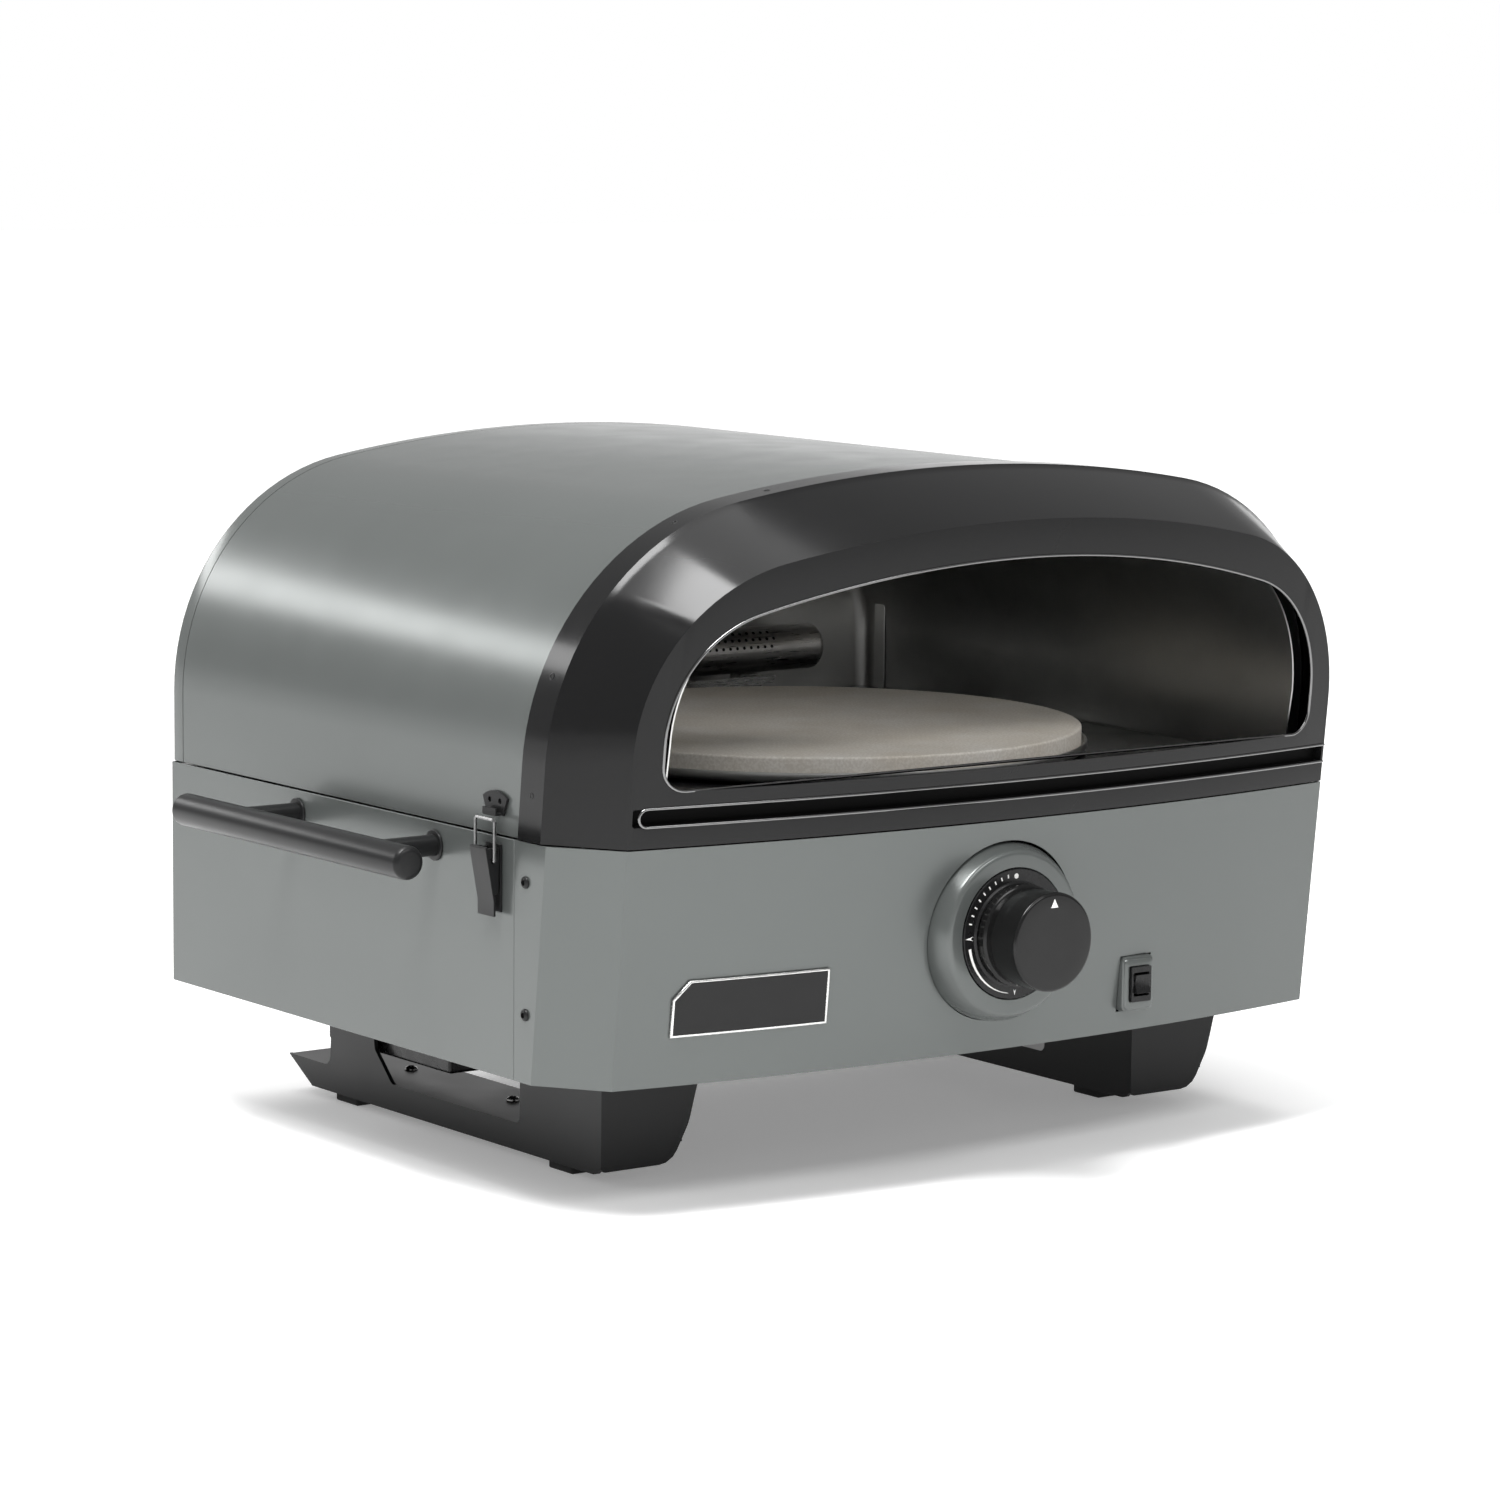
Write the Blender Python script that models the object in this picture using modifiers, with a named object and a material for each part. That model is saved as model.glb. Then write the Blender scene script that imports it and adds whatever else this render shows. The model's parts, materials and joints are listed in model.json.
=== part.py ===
"""Countertop gas pizza oven with a turning stone, a hinged hood and two draw latches.

Metres, +Z up. X runs across the front, the front faces -Y, and the origin lies on the
surface that the oven stands on, under the middle of its bounding box.
"""

import math

import bmesh
import bpy
from mathutils import Vector

# Lower body
WIDTH = 0.550  # across the side walls
BODY_LOW = 0.075  # underside of the body above the worktop
BODY_HIGH = 0.207  # top edge of the lower body
FRONT = -0.2045  # y of the front panel's corner folds at the top edge
BACK = 0.2345  # outside of the rear wall
CORNER_X = 0.0265  # chamfered corner, across
CORNER_Y = 0.038  # chamfered corner, front to back
LEAN = 0.1023  # how far the front tips forward per unit of height
BOW = 0.0216  # how far the middle of the front stands out
SEAM = -0.1365  # y where the front panel's side flange ends
SHEET = 0.0015
GAP = 0.0003

# Hood
HOOD_LOW = 0.2078
HOOD_BACK = 0.2337
STRIP = 0.0125  # depth of the rear panel's flange
FLANGE_BACK = -0.140  # y of the fascia's rear edge at the bottom
GROOVE = (0.2195, 0.2295)  # low and high edge of the long groove
GROOVE_DEPTH = 0.006
WINDOW_LOW = 0.238
LINER_HALF = 0.222
LINER_BACK = 0.2015

# Turning stone
STONE_Y = -0.0265
STONE_RADIUS = 0.164
STONE_TOP = 0.2415
STONE_THICK = 0.0125
FLOOR_TOP = 0.225

# Controls
DIAL_X = -0.004
DIAL_Z = 0.144
PANEL_AT_DIAL = -0.2190
SWITCH_X = 0.1003
SWITCH_Z = 0.1033

# Legs, handles, latches, hinge
LEG_X = 0.195
LEG_FRONT = -0.1045
LEG_SHEET = 0.0025
HANDLE_OUT = 0.047
HANDLE_Z = 0.194
HANDLE_Y = 0.015
HANDLE_LONG = 0.242
POST_SPACING = 0.145
ROCKER_TILT = 6.0  # degrees at rest
LATCH_Y = -0.1175
LATCH_PIVOT = (0.0043, 0.1990)  # out from the side wall, and height
BAIL_PIVOT = (0.0063, 0.1945)
HINGE_Y = 0.2425
HINGE_Z = 0.2095
HINGE_X = 0.185

HALF = WIDTH / 2
QUARTER = math.pi / 2

for old in list(bpy.data.objects):
    bpy.data.objects.remove(old, do_unlink=True)

PARTS = bpy.data.collections.new("countertop_pizza_oven")
CUTTERS = bpy.data.collections.new("cutters")
CUTTERS.hide_render = True
for group in (PARTS, CUTTERS):
    bpy.context.scene.collection.children.link(group)


def material(name, colour, roughness, metallic=0.0):
    made = bpy.data.materials.new(name)
    made.use_nodes = True
    shader = made.node_tree.nodes["Principled BSDF"]
    shader.inputs["Base Color"].default_value = (*colour, 1.0)
    shader.inputs["Roughness"].default_value = roughness
    shader.inputs["Metallic"].default_value = metallic
    return made


GREY = material("grey_paint", (0.17, 0.185, 0.18), 0.45)
BLACK = material("black_enamel", (0.03, 0.03, 0.03), 0.2)
DARK = material("black_powder_coat", (0.04, 0.04, 0.04), 0.5)
STEEL = material("stainless_steel", (0.6, 0.6, 0.6), 0.3, 1.0)
BRASS = material("brass", (0.7, 0.5, 0.25), 0.35, 1.0)
PLASTIC = material("black_plastic", (0.025, 0.025, 0.025), 0.4)
RUBBER = material("rubber", (0.02, 0.02, 0.02), 0.85)
CORDIERITE = material("cordierite", (0.78, 0.74, 0.68), 0.85)
BOARD = material("insulation_board", (0.75, 0.73, 0.68), 0.9)


# ---------------------------------------------------------------- tools


def add(name, mesh, finish, group=PARTS):
    made = bpy.data.objects.new(name, mesh)
    group.objects.link(made)
    if finish:
        mesh.materials.append(finish)
    if group is CUTTERS:
        made.hide_render = True
        made.display_type = "WIRE"
    return made


def add_bmesh(name, shape, finish, group=PARTS):
    bmesh.ops.recalc_face_normals(shape, faces=shape.faces)
    mesh = bpy.data.meshes.new(name)
    shape.to_mesh(mesh)
    shape.free()
    return add(name, mesh, finish, group)


def smooth(made, angle=35):
    made.data.shade_smooth()
    made.data.set_sharp_from_angle(angle=math.radians(angle))
    return made


def box(name, low, high, finish, bevel=0.0, group=PARTS):
    """A box between two corners, its edges rounded by a Bevel of the given width."""
    shape = bmesh.new()
    bmesh.ops.create_cube(shape, size=1.0)
    for vert in shape.verts:
        vert.co = Vector([a + (c + 0.5) * (b - a) for a, b, c in zip(low, high, vert.co)])
    made = add_bmesh(name, shape, finish, group)
    if bevel:
        rounding = made.modifiers.new("round", "BEVEL")
        rounding.width = bevel
        rounding.segments = 2
    return made


def rod(name, start, end, radius, finish, sides=20, tip=None, group=PARTS):
    """A cylinder, or a cone with the given tip radius, between two points."""
    start, end = Vector(start), Vector(end)
    run = end - start
    shape = bmesh.new()
    bmesh.ops.create_cone(
        shape, cap_ends=True, segments=sides, radius1=radius,
        radius2=radius if tip is None else tip, depth=run.length,
    )
    made = add_bmesh(name, shape, finish, group)
    made.rotation_mode = "QUATERNION"
    made.rotation_quaternion = Vector((0, 0, 1)).rotation_difference(run)
    made.location = (start + end) / 2
    return smooth(made)


def turned(name, profile, place, finish, direction=(0, 0, 1), sides=32, group=PARTS):
    """Turns a closed profile of (radius, height) points; it runs down the outer side first."""
    mesh = bpy.data.meshes.new(name)
    points = [(radius, 0, height) for radius, height in profile]
    closed = all(radius > 0 for radius, _ in profile)
    edges = [(i, i + 1) for i in range(len(points) - 1)]
    if closed:
        edges.append((len(points) - 1, 0))
    mesh.from_pydata(points, edges, [])
    made = add(name, mesh, finish, group)
    made.location = place
    made.rotation_mode = "QUATERNION"
    made.rotation_quaternion = Vector((0, 0, 1)).rotation_difference(Vector(direction))
    spin = made.modifiers.new("turn", "SCREW")
    spin.steps = spin.render_steps = sides
    spin.use_merge_vertices = True
    spin.merge_threshold = 0.00005
    spin.use_smooth_shade = True
    return made


TURNS = {"XY": (0, 0, 0), "XZ": (QUARTER, 0, 0), "YZ": (QUARTER, 0, QUARTER)}
NORMALS = {"XY": (0, 0, 1), "XZ": (0, -1, 0), "YZ": (1, 0, 0)}


def plate(name, outlines, plane, level, thick, finish, group=PARTS):
    """A flat plate from closed outlines (the first is its edge, the others are holes),
    drawn in a plane and reaching from its level by its thickness along the plane's normal."""
    curve = bpy.data.curves.new(name, "CURVE")
    curve.dimensions = "2D"
    curve.fill_mode = "BOTH"
    curve.extrude = thick / 2
    for outline in outlines:
        line = curve.splines.new("POLY")
        line.points.add(len(outline) - 1)
        for point, (u, v) in zip(line.points, outline):
            point.co = (u, v, 0, 1)
        line.use_cyclic_u = True
    drawn = bpy.data.objects.new(name + "_outline", curve)
    group.objects.link(drawn)
    drawn.rotation_euler = TURNS[plane]
    drawn.location = Vector(NORMALS[plane]) * (level + thick / 2)
    bpy.context.view_layer.update()
    mesh = bpy.data.meshes.new_from_object(drawn.evaluated_get(bpy.context.evaluated_depsgraph_get()))
    shape = bmesh.new()
    shape.from_mesh(mesh)
    bmesh.ops.remove_doubles(shape, verts=shape.verts, dist=0.00001)
    shape.to_mesh(mesh)
    shape.free()
    made = add(name, mesh, finish, group)
    made.matrix_world = drawn.matrix_world.copy()
    bpy.data.objects.remove(drawn)
    return made


def arc(centre, radius, start, end, steps):
    """Points on an arc, angles in degrees."""
    span = [math.radians(start + (end - start) * i / steps) for i in range(steps + 1)]
    return [(centre[0] + radius * math.cos(a), centre[1] + radius * math.sin(a)) for a in span]


def rounded(corners, steps=3):
    """A closed outline whose corners (u, v, radius) are rounded."""
    outline = []
    for i, (u, v, radius) in enumerate(corners):
        here = Vector((u, v))
        if radius == 0:
            outline.append((u, v))
            continue
        before = (Vector(corners[i - 1][:2]) - here).normalized()
        after = (Vector(corners[(i + 1) % len(corners)][:2]) - here).normalized()
        half_angle = before.angle(after) / 2
        reach = radius / math.tan(half_angle)
        centre = here + (before + after).normalized() * radius / math.sin(half_angle)
        first = here + before * reach - centre
        last = here + after * reach - centre
        for k in range(steps + 1):
            mix = first.lerp(last, k / steps).normalized() * radius
            outline.append(tuple(centre + mix))
    return outline


def rectangle(u0, v0, u1, v1, radius=0.0):
    return rounded([(u0, v0, radius), (u1, v0, radius), (u1, v1, radius), (u0, v1, radius)])


def circle(u, v, radius, sides=24):
    return arc((u, v), radius, 0, 360, sides)[:-1]


def loft(name, sections, finish, thick, cap=False, offset=-1.0, closed=False, group=PARTS):
    """A sheet through sections of equal length, thickened by Solidify; cap fills the last."""
    shape = bmesh.new()
    rows = [[shape.verts.new(point) for point in section] for section in sections]
    for row, following in zip(rows, rows[1:]):
        count = len(row) if closed else len(row) - 1
        for i in range(count):
            j = (i + 1) % len(row)
            shape.faces.new((row[i], following[i], following[j], row[j]))
    if cap:
        shape.faces.new(rows[-1])
    made = add_bmesh(name, shape, finish, group)
    wall = made.modifiers.new("sheet", "SOLIDIFY")
    wall.thickness = thick
    wall.offset = offset
    wall.use_even_offset = True
    return made


def cut(made, cutter, how="DIFFERENCE"):
    step = made.modifiers.new(cutter.name, "BOOLEAN")
    step.operation = how
    step.object = cutter
    return made


def mirrored(make):
    """Calls a maker for the left side (-1) and the right side (+1)."""
    for side, word in ((-1, "left"), (1, "right")):
        make(side, word)


def flat_box(name, side, x_in, x_out, y0, y1, z0, z1, finish, bevel=0.0, group=PARTS):
    """A box on one side of the oven, with x measured outward from the middle."""
    xs = sorted((side * x_in, side * x_out))
    return box(name, (xs[0], y0, z0), (xs[1], y1, z1), finish, bevel, group)


# ---------------------------------------------------------------- shared shape


def bulge(x):
    """How far the bowed front stands out at x, zero at its corner folds."""
    half = HALF - CORNER_X
    radius = (half * half + BOW * BOW) / (2 * BOW)
    return math.sqrt(max(radius * radius - x * x, 0)) - (radius - BOW)


def front_y(x, z, inset=0.0):
    """The bowed, leaning front face."""
    return FRONT - (z - BODY_HIGH) * LEAN - bulge(x) + inset


def arch(half, spring, radius, turn, low, corner_steps=7, top_steps=5):
    """Points (x, z) of an arch: two walls, two corner arcs and one shallow top arc."""
    left = arc((-half + radius, spring), radius, 180, 180 - turn, corner_steps)
    x1, z1 = left[-1]
    top_radius = -x1 / math.cos(math.radians(turn))
    centre = (0, z1 - top_radius * math.sin(math.radians(turn)))
    top = arc(centre, top_radius, 180 - turn, turn, 2 * top_steps)[1:-1]
    right = [(-x, z) for x, z in reversed(left)]
    return [(-half, low)] + left + top + right + [(half, low)]


def hood_arch(inset=0.0, low=HOOD_LOW):
    return arch(HALF - 0.0015 - inset, 0.2495, 0.1385 - inset, 80, low)


def plan(inset, top=BODY_HIGH, back=BACK, steps=10):
    """The body's outline from above at a height, inset all round."""
    half = HALF - inset
    fold = HALF - CORNER_X - inset * 0.6
    front = [fold * (1 - 2 * i / steps) for i in range(steps + 1)]
    corner = FRONT - (top - BODY_HIGH) * LEAN + CORNER_Y + inset * 0.5
    outline = [(-half, back - 0.006), (-half + 0.006, back - inset),
               (half - 0.006, back - inset), (half, back - 0.006), (half, corner)]
    outline += [(x, front_y(x, top, inset)) for x in front]
    return outline + [(-half, corner)]


# ---------------------------------------------------------------- lower body


def base_shell():
    """Side walls and rear wall, folded from one sheet."""
    inner = HALF - 0.004
    path = [(-HALF, SEAM + GAP), (-HALF, BACK - 0.004), (-inner, BACK),
            (inner, BACK), (HALF, BACK - 0.004), (HALF, SEAM + GAP)]
    sections = [[(x, y, z) for x, y in path] for z in (BODY_LOW, BODY_HIGH)]
    shell = loft("base_shell", sections, GREY, SHEET)
    inlet = rod("inlet_hole", (0.12, BACK - 0.02, 0.115), (0.12, BACK + 0.02, 0.115), 0.0125,
                None, group=CUTTERS)
    cut(shell, inlet)
    for row, z in enumerate((0.170, 0.155)):
        for side in (-1, 1):
            x = side * 0.06
            vent = box(f"vent_{row}_{side}", (x - 0.04, BACK - 0.02, z - 0.003),
                       (x + 0.04, BACK + 0.02, z + 0.003), None, group=CUTTERS)
            cut(shell, vent)


def front_panel():
    """Bowed front with chamfered corners and side flanges, leaning forward."""
    steps = 12
    fold = HALF - CORNER_X
    sections = []
    for z in (BODY_LOW, BODY_HIGH):
        corner = FRONT - (z - BODY_HIGH) * LEAN + CORNER_Y
        row = [(-HALF, SEAM), (-HALF, corner)]
        row += [(x, front_y(x, z)) for x in (fold * (2 * i / steps - 1) for i in range(steps + 1))]
        row += [(HALF, corner), (HALF, SEAM)]
        sections.append([(x, y, z) for x, y in row])
    panel = loft("front_panel", sections, GREY, SHEET)
    cut(panel, rod("bezel_hole", (DIAL_X, FRONT - 0.06, DIAL_Z), (DIAL_X, FRONT + 0.04, DIAL_Z),
                   0.0516, None, sides=40, group=CUTTERS))
    cut(panel, box("switch_hole", (SWITCH_X - 0.0150, FRONT - 0.06, SWITCH_Z - 0.0186),
                   (SWITCH_X + 0.0150, FRONT + 0.04, SWITCH_Z + 0.0186), None, group=CUTTERS))


def bottom_pan():
    level = BODY_LOW + 0.0005
    plate("bottom_pan", [plan(0.0027, BODY_LOW + 0.001), rectangle(-0.09, 0.06, 0.09, 0.075)],
          "XY", level, SHEET, DARK)


def deck():
    """Deck plate, insulation board and the raised oven floor, all pierced by the spindle."""
    hole = circle(0, STONE_Y, 0.010, 16)
    plate("deck_plate", [plan(0.0030, 0.2055), hole], "XY", 0.2045, SHEET, STEEL)
    front = [(0.205 * (1 - 2 * i / 6)) for i in range(7)]
    edge = [(-0.205, LINER_BACK - 0.012), (0.205, LINER_BACK - 0.012)]
    edge += [(x, front_y(x, 0.22, 0.032)) for x in front]
    plate("deck_insulation", [edge, hole], "XY", 0.2063, 0.0160, BOARD)
    steps = [(LINER_HALF - 0.0035) * (1 - 2 * i / 10) for i in range(11)]
    rim = [(-steps[0], LINER_BACK - 0.004), (steps[0], LINER_BACK - 0.004)]
    rim += [(x, front_y(x, 0.22, 0.010)) for x in steps]
    sections = [[(x, y, z) for x, y in rim] for z in (0.2063, FLOOR_TOP)]
    floor = loft("oven_floor", sections, BLACK, SHEET, cap=True, closed=True)
    cut(floor, rod("floor_hole", (0, STONE_Y, 0.2), (0, STONE_Y, 0.24), 0.010, None, 16,
                   group=CUTTERS))


def leg(side, word):
    """Folded leg: side plate with a window, shelf, curved front plate and fixing tab."""
    x = side * LEG_X - (0 if side < 0 else LEG_SHEET)
    top = BODY_LOW - GAP
    y = LEG_FRONT
    side_edge = rounded([
        (y, top, 0), (y, 0.006, 0.008), (y + 0.308, 0.006, 0), (y + 0.335, 0.022, 0),
        (y + 0.2875, 0.022, 0.006), (y + 0.285, top, 0)])
    window = rounded([
        (y + 0.082, 0.022, 0.004), (y + 0.218, 0.022, 0.005), (y + 0.237, 0.040, 0.004),
        (y + 0.240, 0.063, 0.003), (y + 0.082, 0.063, 0.003)])
    made = plate("leg_" + word, [side_edge, window], "YZ", x, LEG_SHEET, DARK)
    shelf = box("shelf_" + word, (x + 0.001, y + 0.001, 0.0195), (x + 0.056, y + 0.334, 0.022),
                None, group=CUTTERS)
    tab = box("tab_" + word, (x + 0.001, y + 0.012, top - LEG_SHEET), (x + 0.030, y + 0.285, top),
              None, group=CUTTERS)
    front_edge = rounded([
        (x, top, 0), (x, 0.008, 0.003), (x + 0.048, 0.008, 0.014),
        (x + 0.060, 0.030, 0.030), (x + 0.072, top, 0)])
    front = plate("front_" + word, [front_edge], "XZ", -(y + LEG_SHEET), LEG_SHEET, None,
                  group=CUTTERS)
    for piece in (shelf, tab, front):
        cut(made, piece, "UNION")
    for place, along in (("front", 0.048), ("rear", 0.277)):
        pad_x = x + 0.016
        box(f"foot_pad_{word}_{place}", (pad_x - 0.011, y + along - 0.012, 0),
            (pad_x + 0.011, y + along + 0.012, 0.0192), RUBBER, 0.001)


def battery_box():
    box("battery_box", (-0.189, 0.060, 0.036), (-0.148, 0.195, BODY_LOW - GAP - LEG_SHEET - GAP),
        PLASTIC, 0.002)


# ---------------------------------------------------------------- burner, gas and drive


def burner():
    y, z = 0.172, 0.257
    tube = rod("burner_tube", (-0.216, y, z), (0.158, y, z), 0.0145, STEEL, 20)
    slots = box("flame_slot", (-0.19, y - 0.02, z - 0.0014), (0.13, y - 0.009, z + 0.0014), None,
                group=CUTTERS)
    cut(tube, slots)
    box("burner_shield", (-0.216, y - 0.013, 0.2365), (0.118, y - 0.0115, 0.2415), STEEL)
    rod("igniter", (-0.150, y - 0.022, 0.2255), (-0.150, y - 0.022, 0.262), 0.0025, BOARD, 10)
    for number, x in enumerate((-0.170, 0.105), 1):
        box(f"burner_bracket_{number}", (x - 0.008, y - 0.006, FLOOR_TOP + GAP),
            (x + 0.008, y + 0.006, z - 0.0149), STEEL)


def gas_train():
    """Inlet fitting, supply pipe and the valve behind the dial; the burner feed is a pipe."""
    x = 0.12
    turned("gas_inlet", [(0.0085, 0.0), (0.0085, 0.020), (0.0120, 0.020), (0.0120, 0.045),
                         (0.0045, 0.045), (0.0045, 0.0)][::-1],
           (x, BACK + 0.0315, 0.115), BRASS, (0, -1, 0), 16)
    box("gas_valve", (DIAL_X - 0.016, PANEL_AT_DIAL + 0.012, DIAL_Z - 0.014),
        (DIAL_X + 0.016, PANEL_AT_DIAL + 0.052, DIAL_Z + 0.014), BRASS, 0.002)
    pipe("supply_pipe", [(x, BACK - 0.0145, 0.115), (x, BACK - 0.03, 0.115), (0.11, 0.10, 0.10),
                         (0.05, -0.10, 0.10), (DIAL_X + 0.010, -0.145, 0.138),
                         (DIAL_X + 0.010, PANEL_AT_DIAL + 0.0535, DIAL_Z - 0.004)])
    pipe("burner_pipe", [(DIAL_X - 0.009, PANEL_AT_DIAL + 0.0535, DIAL_Z - 0.004),
                         (DIAL_X - 0.009, -0.145, 0.13), (-0.10, -0.10, 0.13),
                         (-0.18, 0.05, 0.16), (-0.205, 0.168, 0.185), (-0.205, 0.172, 0.2035)])


def pipe(name, route):
    curve = bpy.data.curves.new(name, "CURVE")
    curve.dimensions = "3D"
    curve.bevel_depth = 0.004
    curve.bevel_resolution = 1
    curve.use_fill_caps = True
    line = curve.splines.new("POLY")
    line.points.add(len(route) - 1)
    for point, place in zip(line.points, route):
        point.co = (*place, 1)
    made = bpy.data.objects.new(name, curve)
    PARTS.objects.link(made)
    curve.materials.append(STEEL)
    return made


def drive():
    """Gear motor under the deck, spindle, tray and stone."""
    box("gear_motor", (-0.030, STONE_Y - 0.024, 0.150), (0.030, STONE_Y + 0.036, 0.190), STEEL,
        0.003)
    turned("drive_shaft", [(0, 0.2285), (0.009, 0.2285), (0.009, 0.2262), (0.0055, 0.2262),
                           (0.0055, 0.1903), (0, 0.1903)], (0, STONE_Y, 0), STEEL, sides=20)
    lip = STONE_RADIUS + 0.0035
    bottom = STONE_TOP - STONE_THICK - 0.0022
    high = bottom + 0.0062
    turned("turntable_tray",
           [(lip, high), (lip, bottom + 0.0008), (lip - 0.002, bottom), (0.0095, bottom),
            (0.0095, bottom + 0.0018), (lip - 0.003, bottom + 0.0018), (lip - 0.0014, bottom + 0.003),
            (lip - 0.0014, high)], (0, STONE_Y, 0), STEEL, sides=64)
    low = STONE_TOP - STONE_THICK
    turned("pizza_stone",
           [(0, STONE_TOP), (STONE_RADIUS - 0.0015, STONE_TOP), (STONE_RADIUS, STONE_TOP - 0.0015),
            (STONE_RADIUS, low + 0.0015), (STONE_RADIUS - 0.0015, low), (0, low)],
           (0, STONE_Y, 0), CORDIERITE, sides=64)


# ---------------------------------------------------------------- controls


def dial():
    """Raised bezel facing straight forward, printed dial, knob and its stem."""
    face = PANEL_AT_DIAL - 0.0125
    place = (DIAL_X, PANEL_AT_DIAL, DIAL_Z)
    turned("dial_bezel",
           [(0.0370, 0.0125), (0.0442, 0.0125), (0.0460, 0.0112), (0.0478, 0.0092),
            (0.0500, 0.0050), (0.0512, 0.0000), (0.0512, -0.0170), (0.0500, -0.0170),
            (0.0500, -0.0010), (0.0370, 0.0050)],
           place, GREY, (0, -1, 0), 48)
    turned("dial_plate", [(0.0366, 0.0132), (0.0366, 0.0088), (0.0066, 0.0088), (0.0066, 0.0132),
                          (0.0270, 0.0132), (0.0275, 0.0145), (0.0290, 0.0145), (0.0298, 0.0132)],
           place, PLASTIC, (0, -1, 0), 40)
    turned("control_knob",
           [(0, 0.0345), (0.0262, 0.0345), (0.0278, 0.0330), (0.0278, 0.0135), (0.0272, 0.0130),
            (0.0272, 0.0085), (0.0288, 0.0080), (0.0288, 0.0030), (0, 0.0030)],
           (DIAL_X, face, DIAL_Z), PLASTIC, (0, -1, 0), 40)
    rod("valve_stem", (DIAL_X, face - 0.0027, DIAL_Z), (DIAL_X, PANEL_AT_DIAL + 0.0115, DIAL_Z),
        0.004, STEEL, 16)


def switch():
    """Raised pedestal, black frame standing on it and a concave rocker, its upper end pressed."""
    x, z = SWITCH_X, SWITCH_Z
    y = front_y(x, z) - 0.0052
    pedestal = plate("switch_pedestal", [rectangle(x - 0.0118, z - 0.0160, x + 0.0118, z + 0.0160, 0.003),
                                         rectangle(x - 0.0070, z - 0.0098, x + 0.0070, z + 0.0098)],
                     "XZ", -(y + 0.016), 0.016, GREY)
    rounding = pedestal.modifiers.new("round", "BEVEL")
    rounding.width = 0.0015
    rounding.segments = 2
    rounding.angle_limit = math.radians(60)
    frame = plate("switch_frame", [rectangle(x - 0.0073, z - 0.0102, x + 0.0073, z + 0.0102, 0.001),
                                   rectangle(x - 0.0056, z - 0.0068, x + 0.0056, z + 0.0068)],
                  "XZ", -(y - 0.0003), 0.0018, PLASTIC)
    body = plate("switch_body", [rectangle(x - 0.0066, z - 0.0094, x + 0.0066, z + 0.0094),
                                 rectangle(x - 0.0056, z - 0.0068, x + 0.0056, z + 0.0068)],
                 "XZ", -(y + 0.014), 0.0145, None, group=CUTTERS)
    cut(frame, body, "UNION")
    tilt = math.radians(ROCKER_TILT)
    shape = [(3.6, 5.3), (2.3, 0.0), (3.6, -5.3), (-2.5, -5.4), (-2.5, 5.4)]
    tilted = [(y - 0.0006 - (u * math.cos(tilt) - v * math.sin(tilt)) / 1000,
               z + (u * math.sin(tilt) + v * math.cos(tilt)) / 1000) for u, v in shape]
    plate("rocker", [tilted], "YZ", x - 0.0053, 0.0106, PLASTIC)


def badge():
    """Blank plate with one clipped corner, following the bowed front."""
    columns = [-0.2165 + 0.0965 * i / 6 for i in range(7)]
    clip = 0.0095
    lows = [0.1025] * 7
    highs = [0.1335 if x - columns[0] > clip else 0.1335 - (clip - (x - columns[0])) for x in columns]
    shape = [[(x, front_y(x, z, -0.0004), z) for x, z in zip(columns, line)] for line in (lows, highs)]
    loft("badge_plate", shape, STEEL, 0.0018, offset=1.0)


# ---------------------------------------------------------------- hood


def lean_y(z, at_low):
    return at_low - (z - HOOD_LOW) * LEAN


def hood_shell():
    outline = hood_arch()
    front = [(x, lean_y(z, FLANGE_BACK - 0.014), z) for x, z in outline]
    back = [(x, HOOD_BACK - STRIP - GAP, z) for x, z in outline]
    loft("hood_shell", [front, back], GREY, SHEET)


def hood_rear_panel():
    outline = hood_arch()
    front = [(x, HOOD_BACK - STRIP, z) for x, z in outline]
    back = [(x, HOOD_BACK, z) for x, z in outline]
    panel = loft("hood_rear_panel", [front, back], GREY, SHEET, cap=True)
    for number in range(5):
        x = (number - 2) * 0.05
        cut(panel, box(f"flue_{number}", (x - 0.018, HOOD_BACK - 0.03, 0.331),
                       (x + 0.018, HOOD_BACK + 0.03, 0.337), None, group=CUTTERS))


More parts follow.
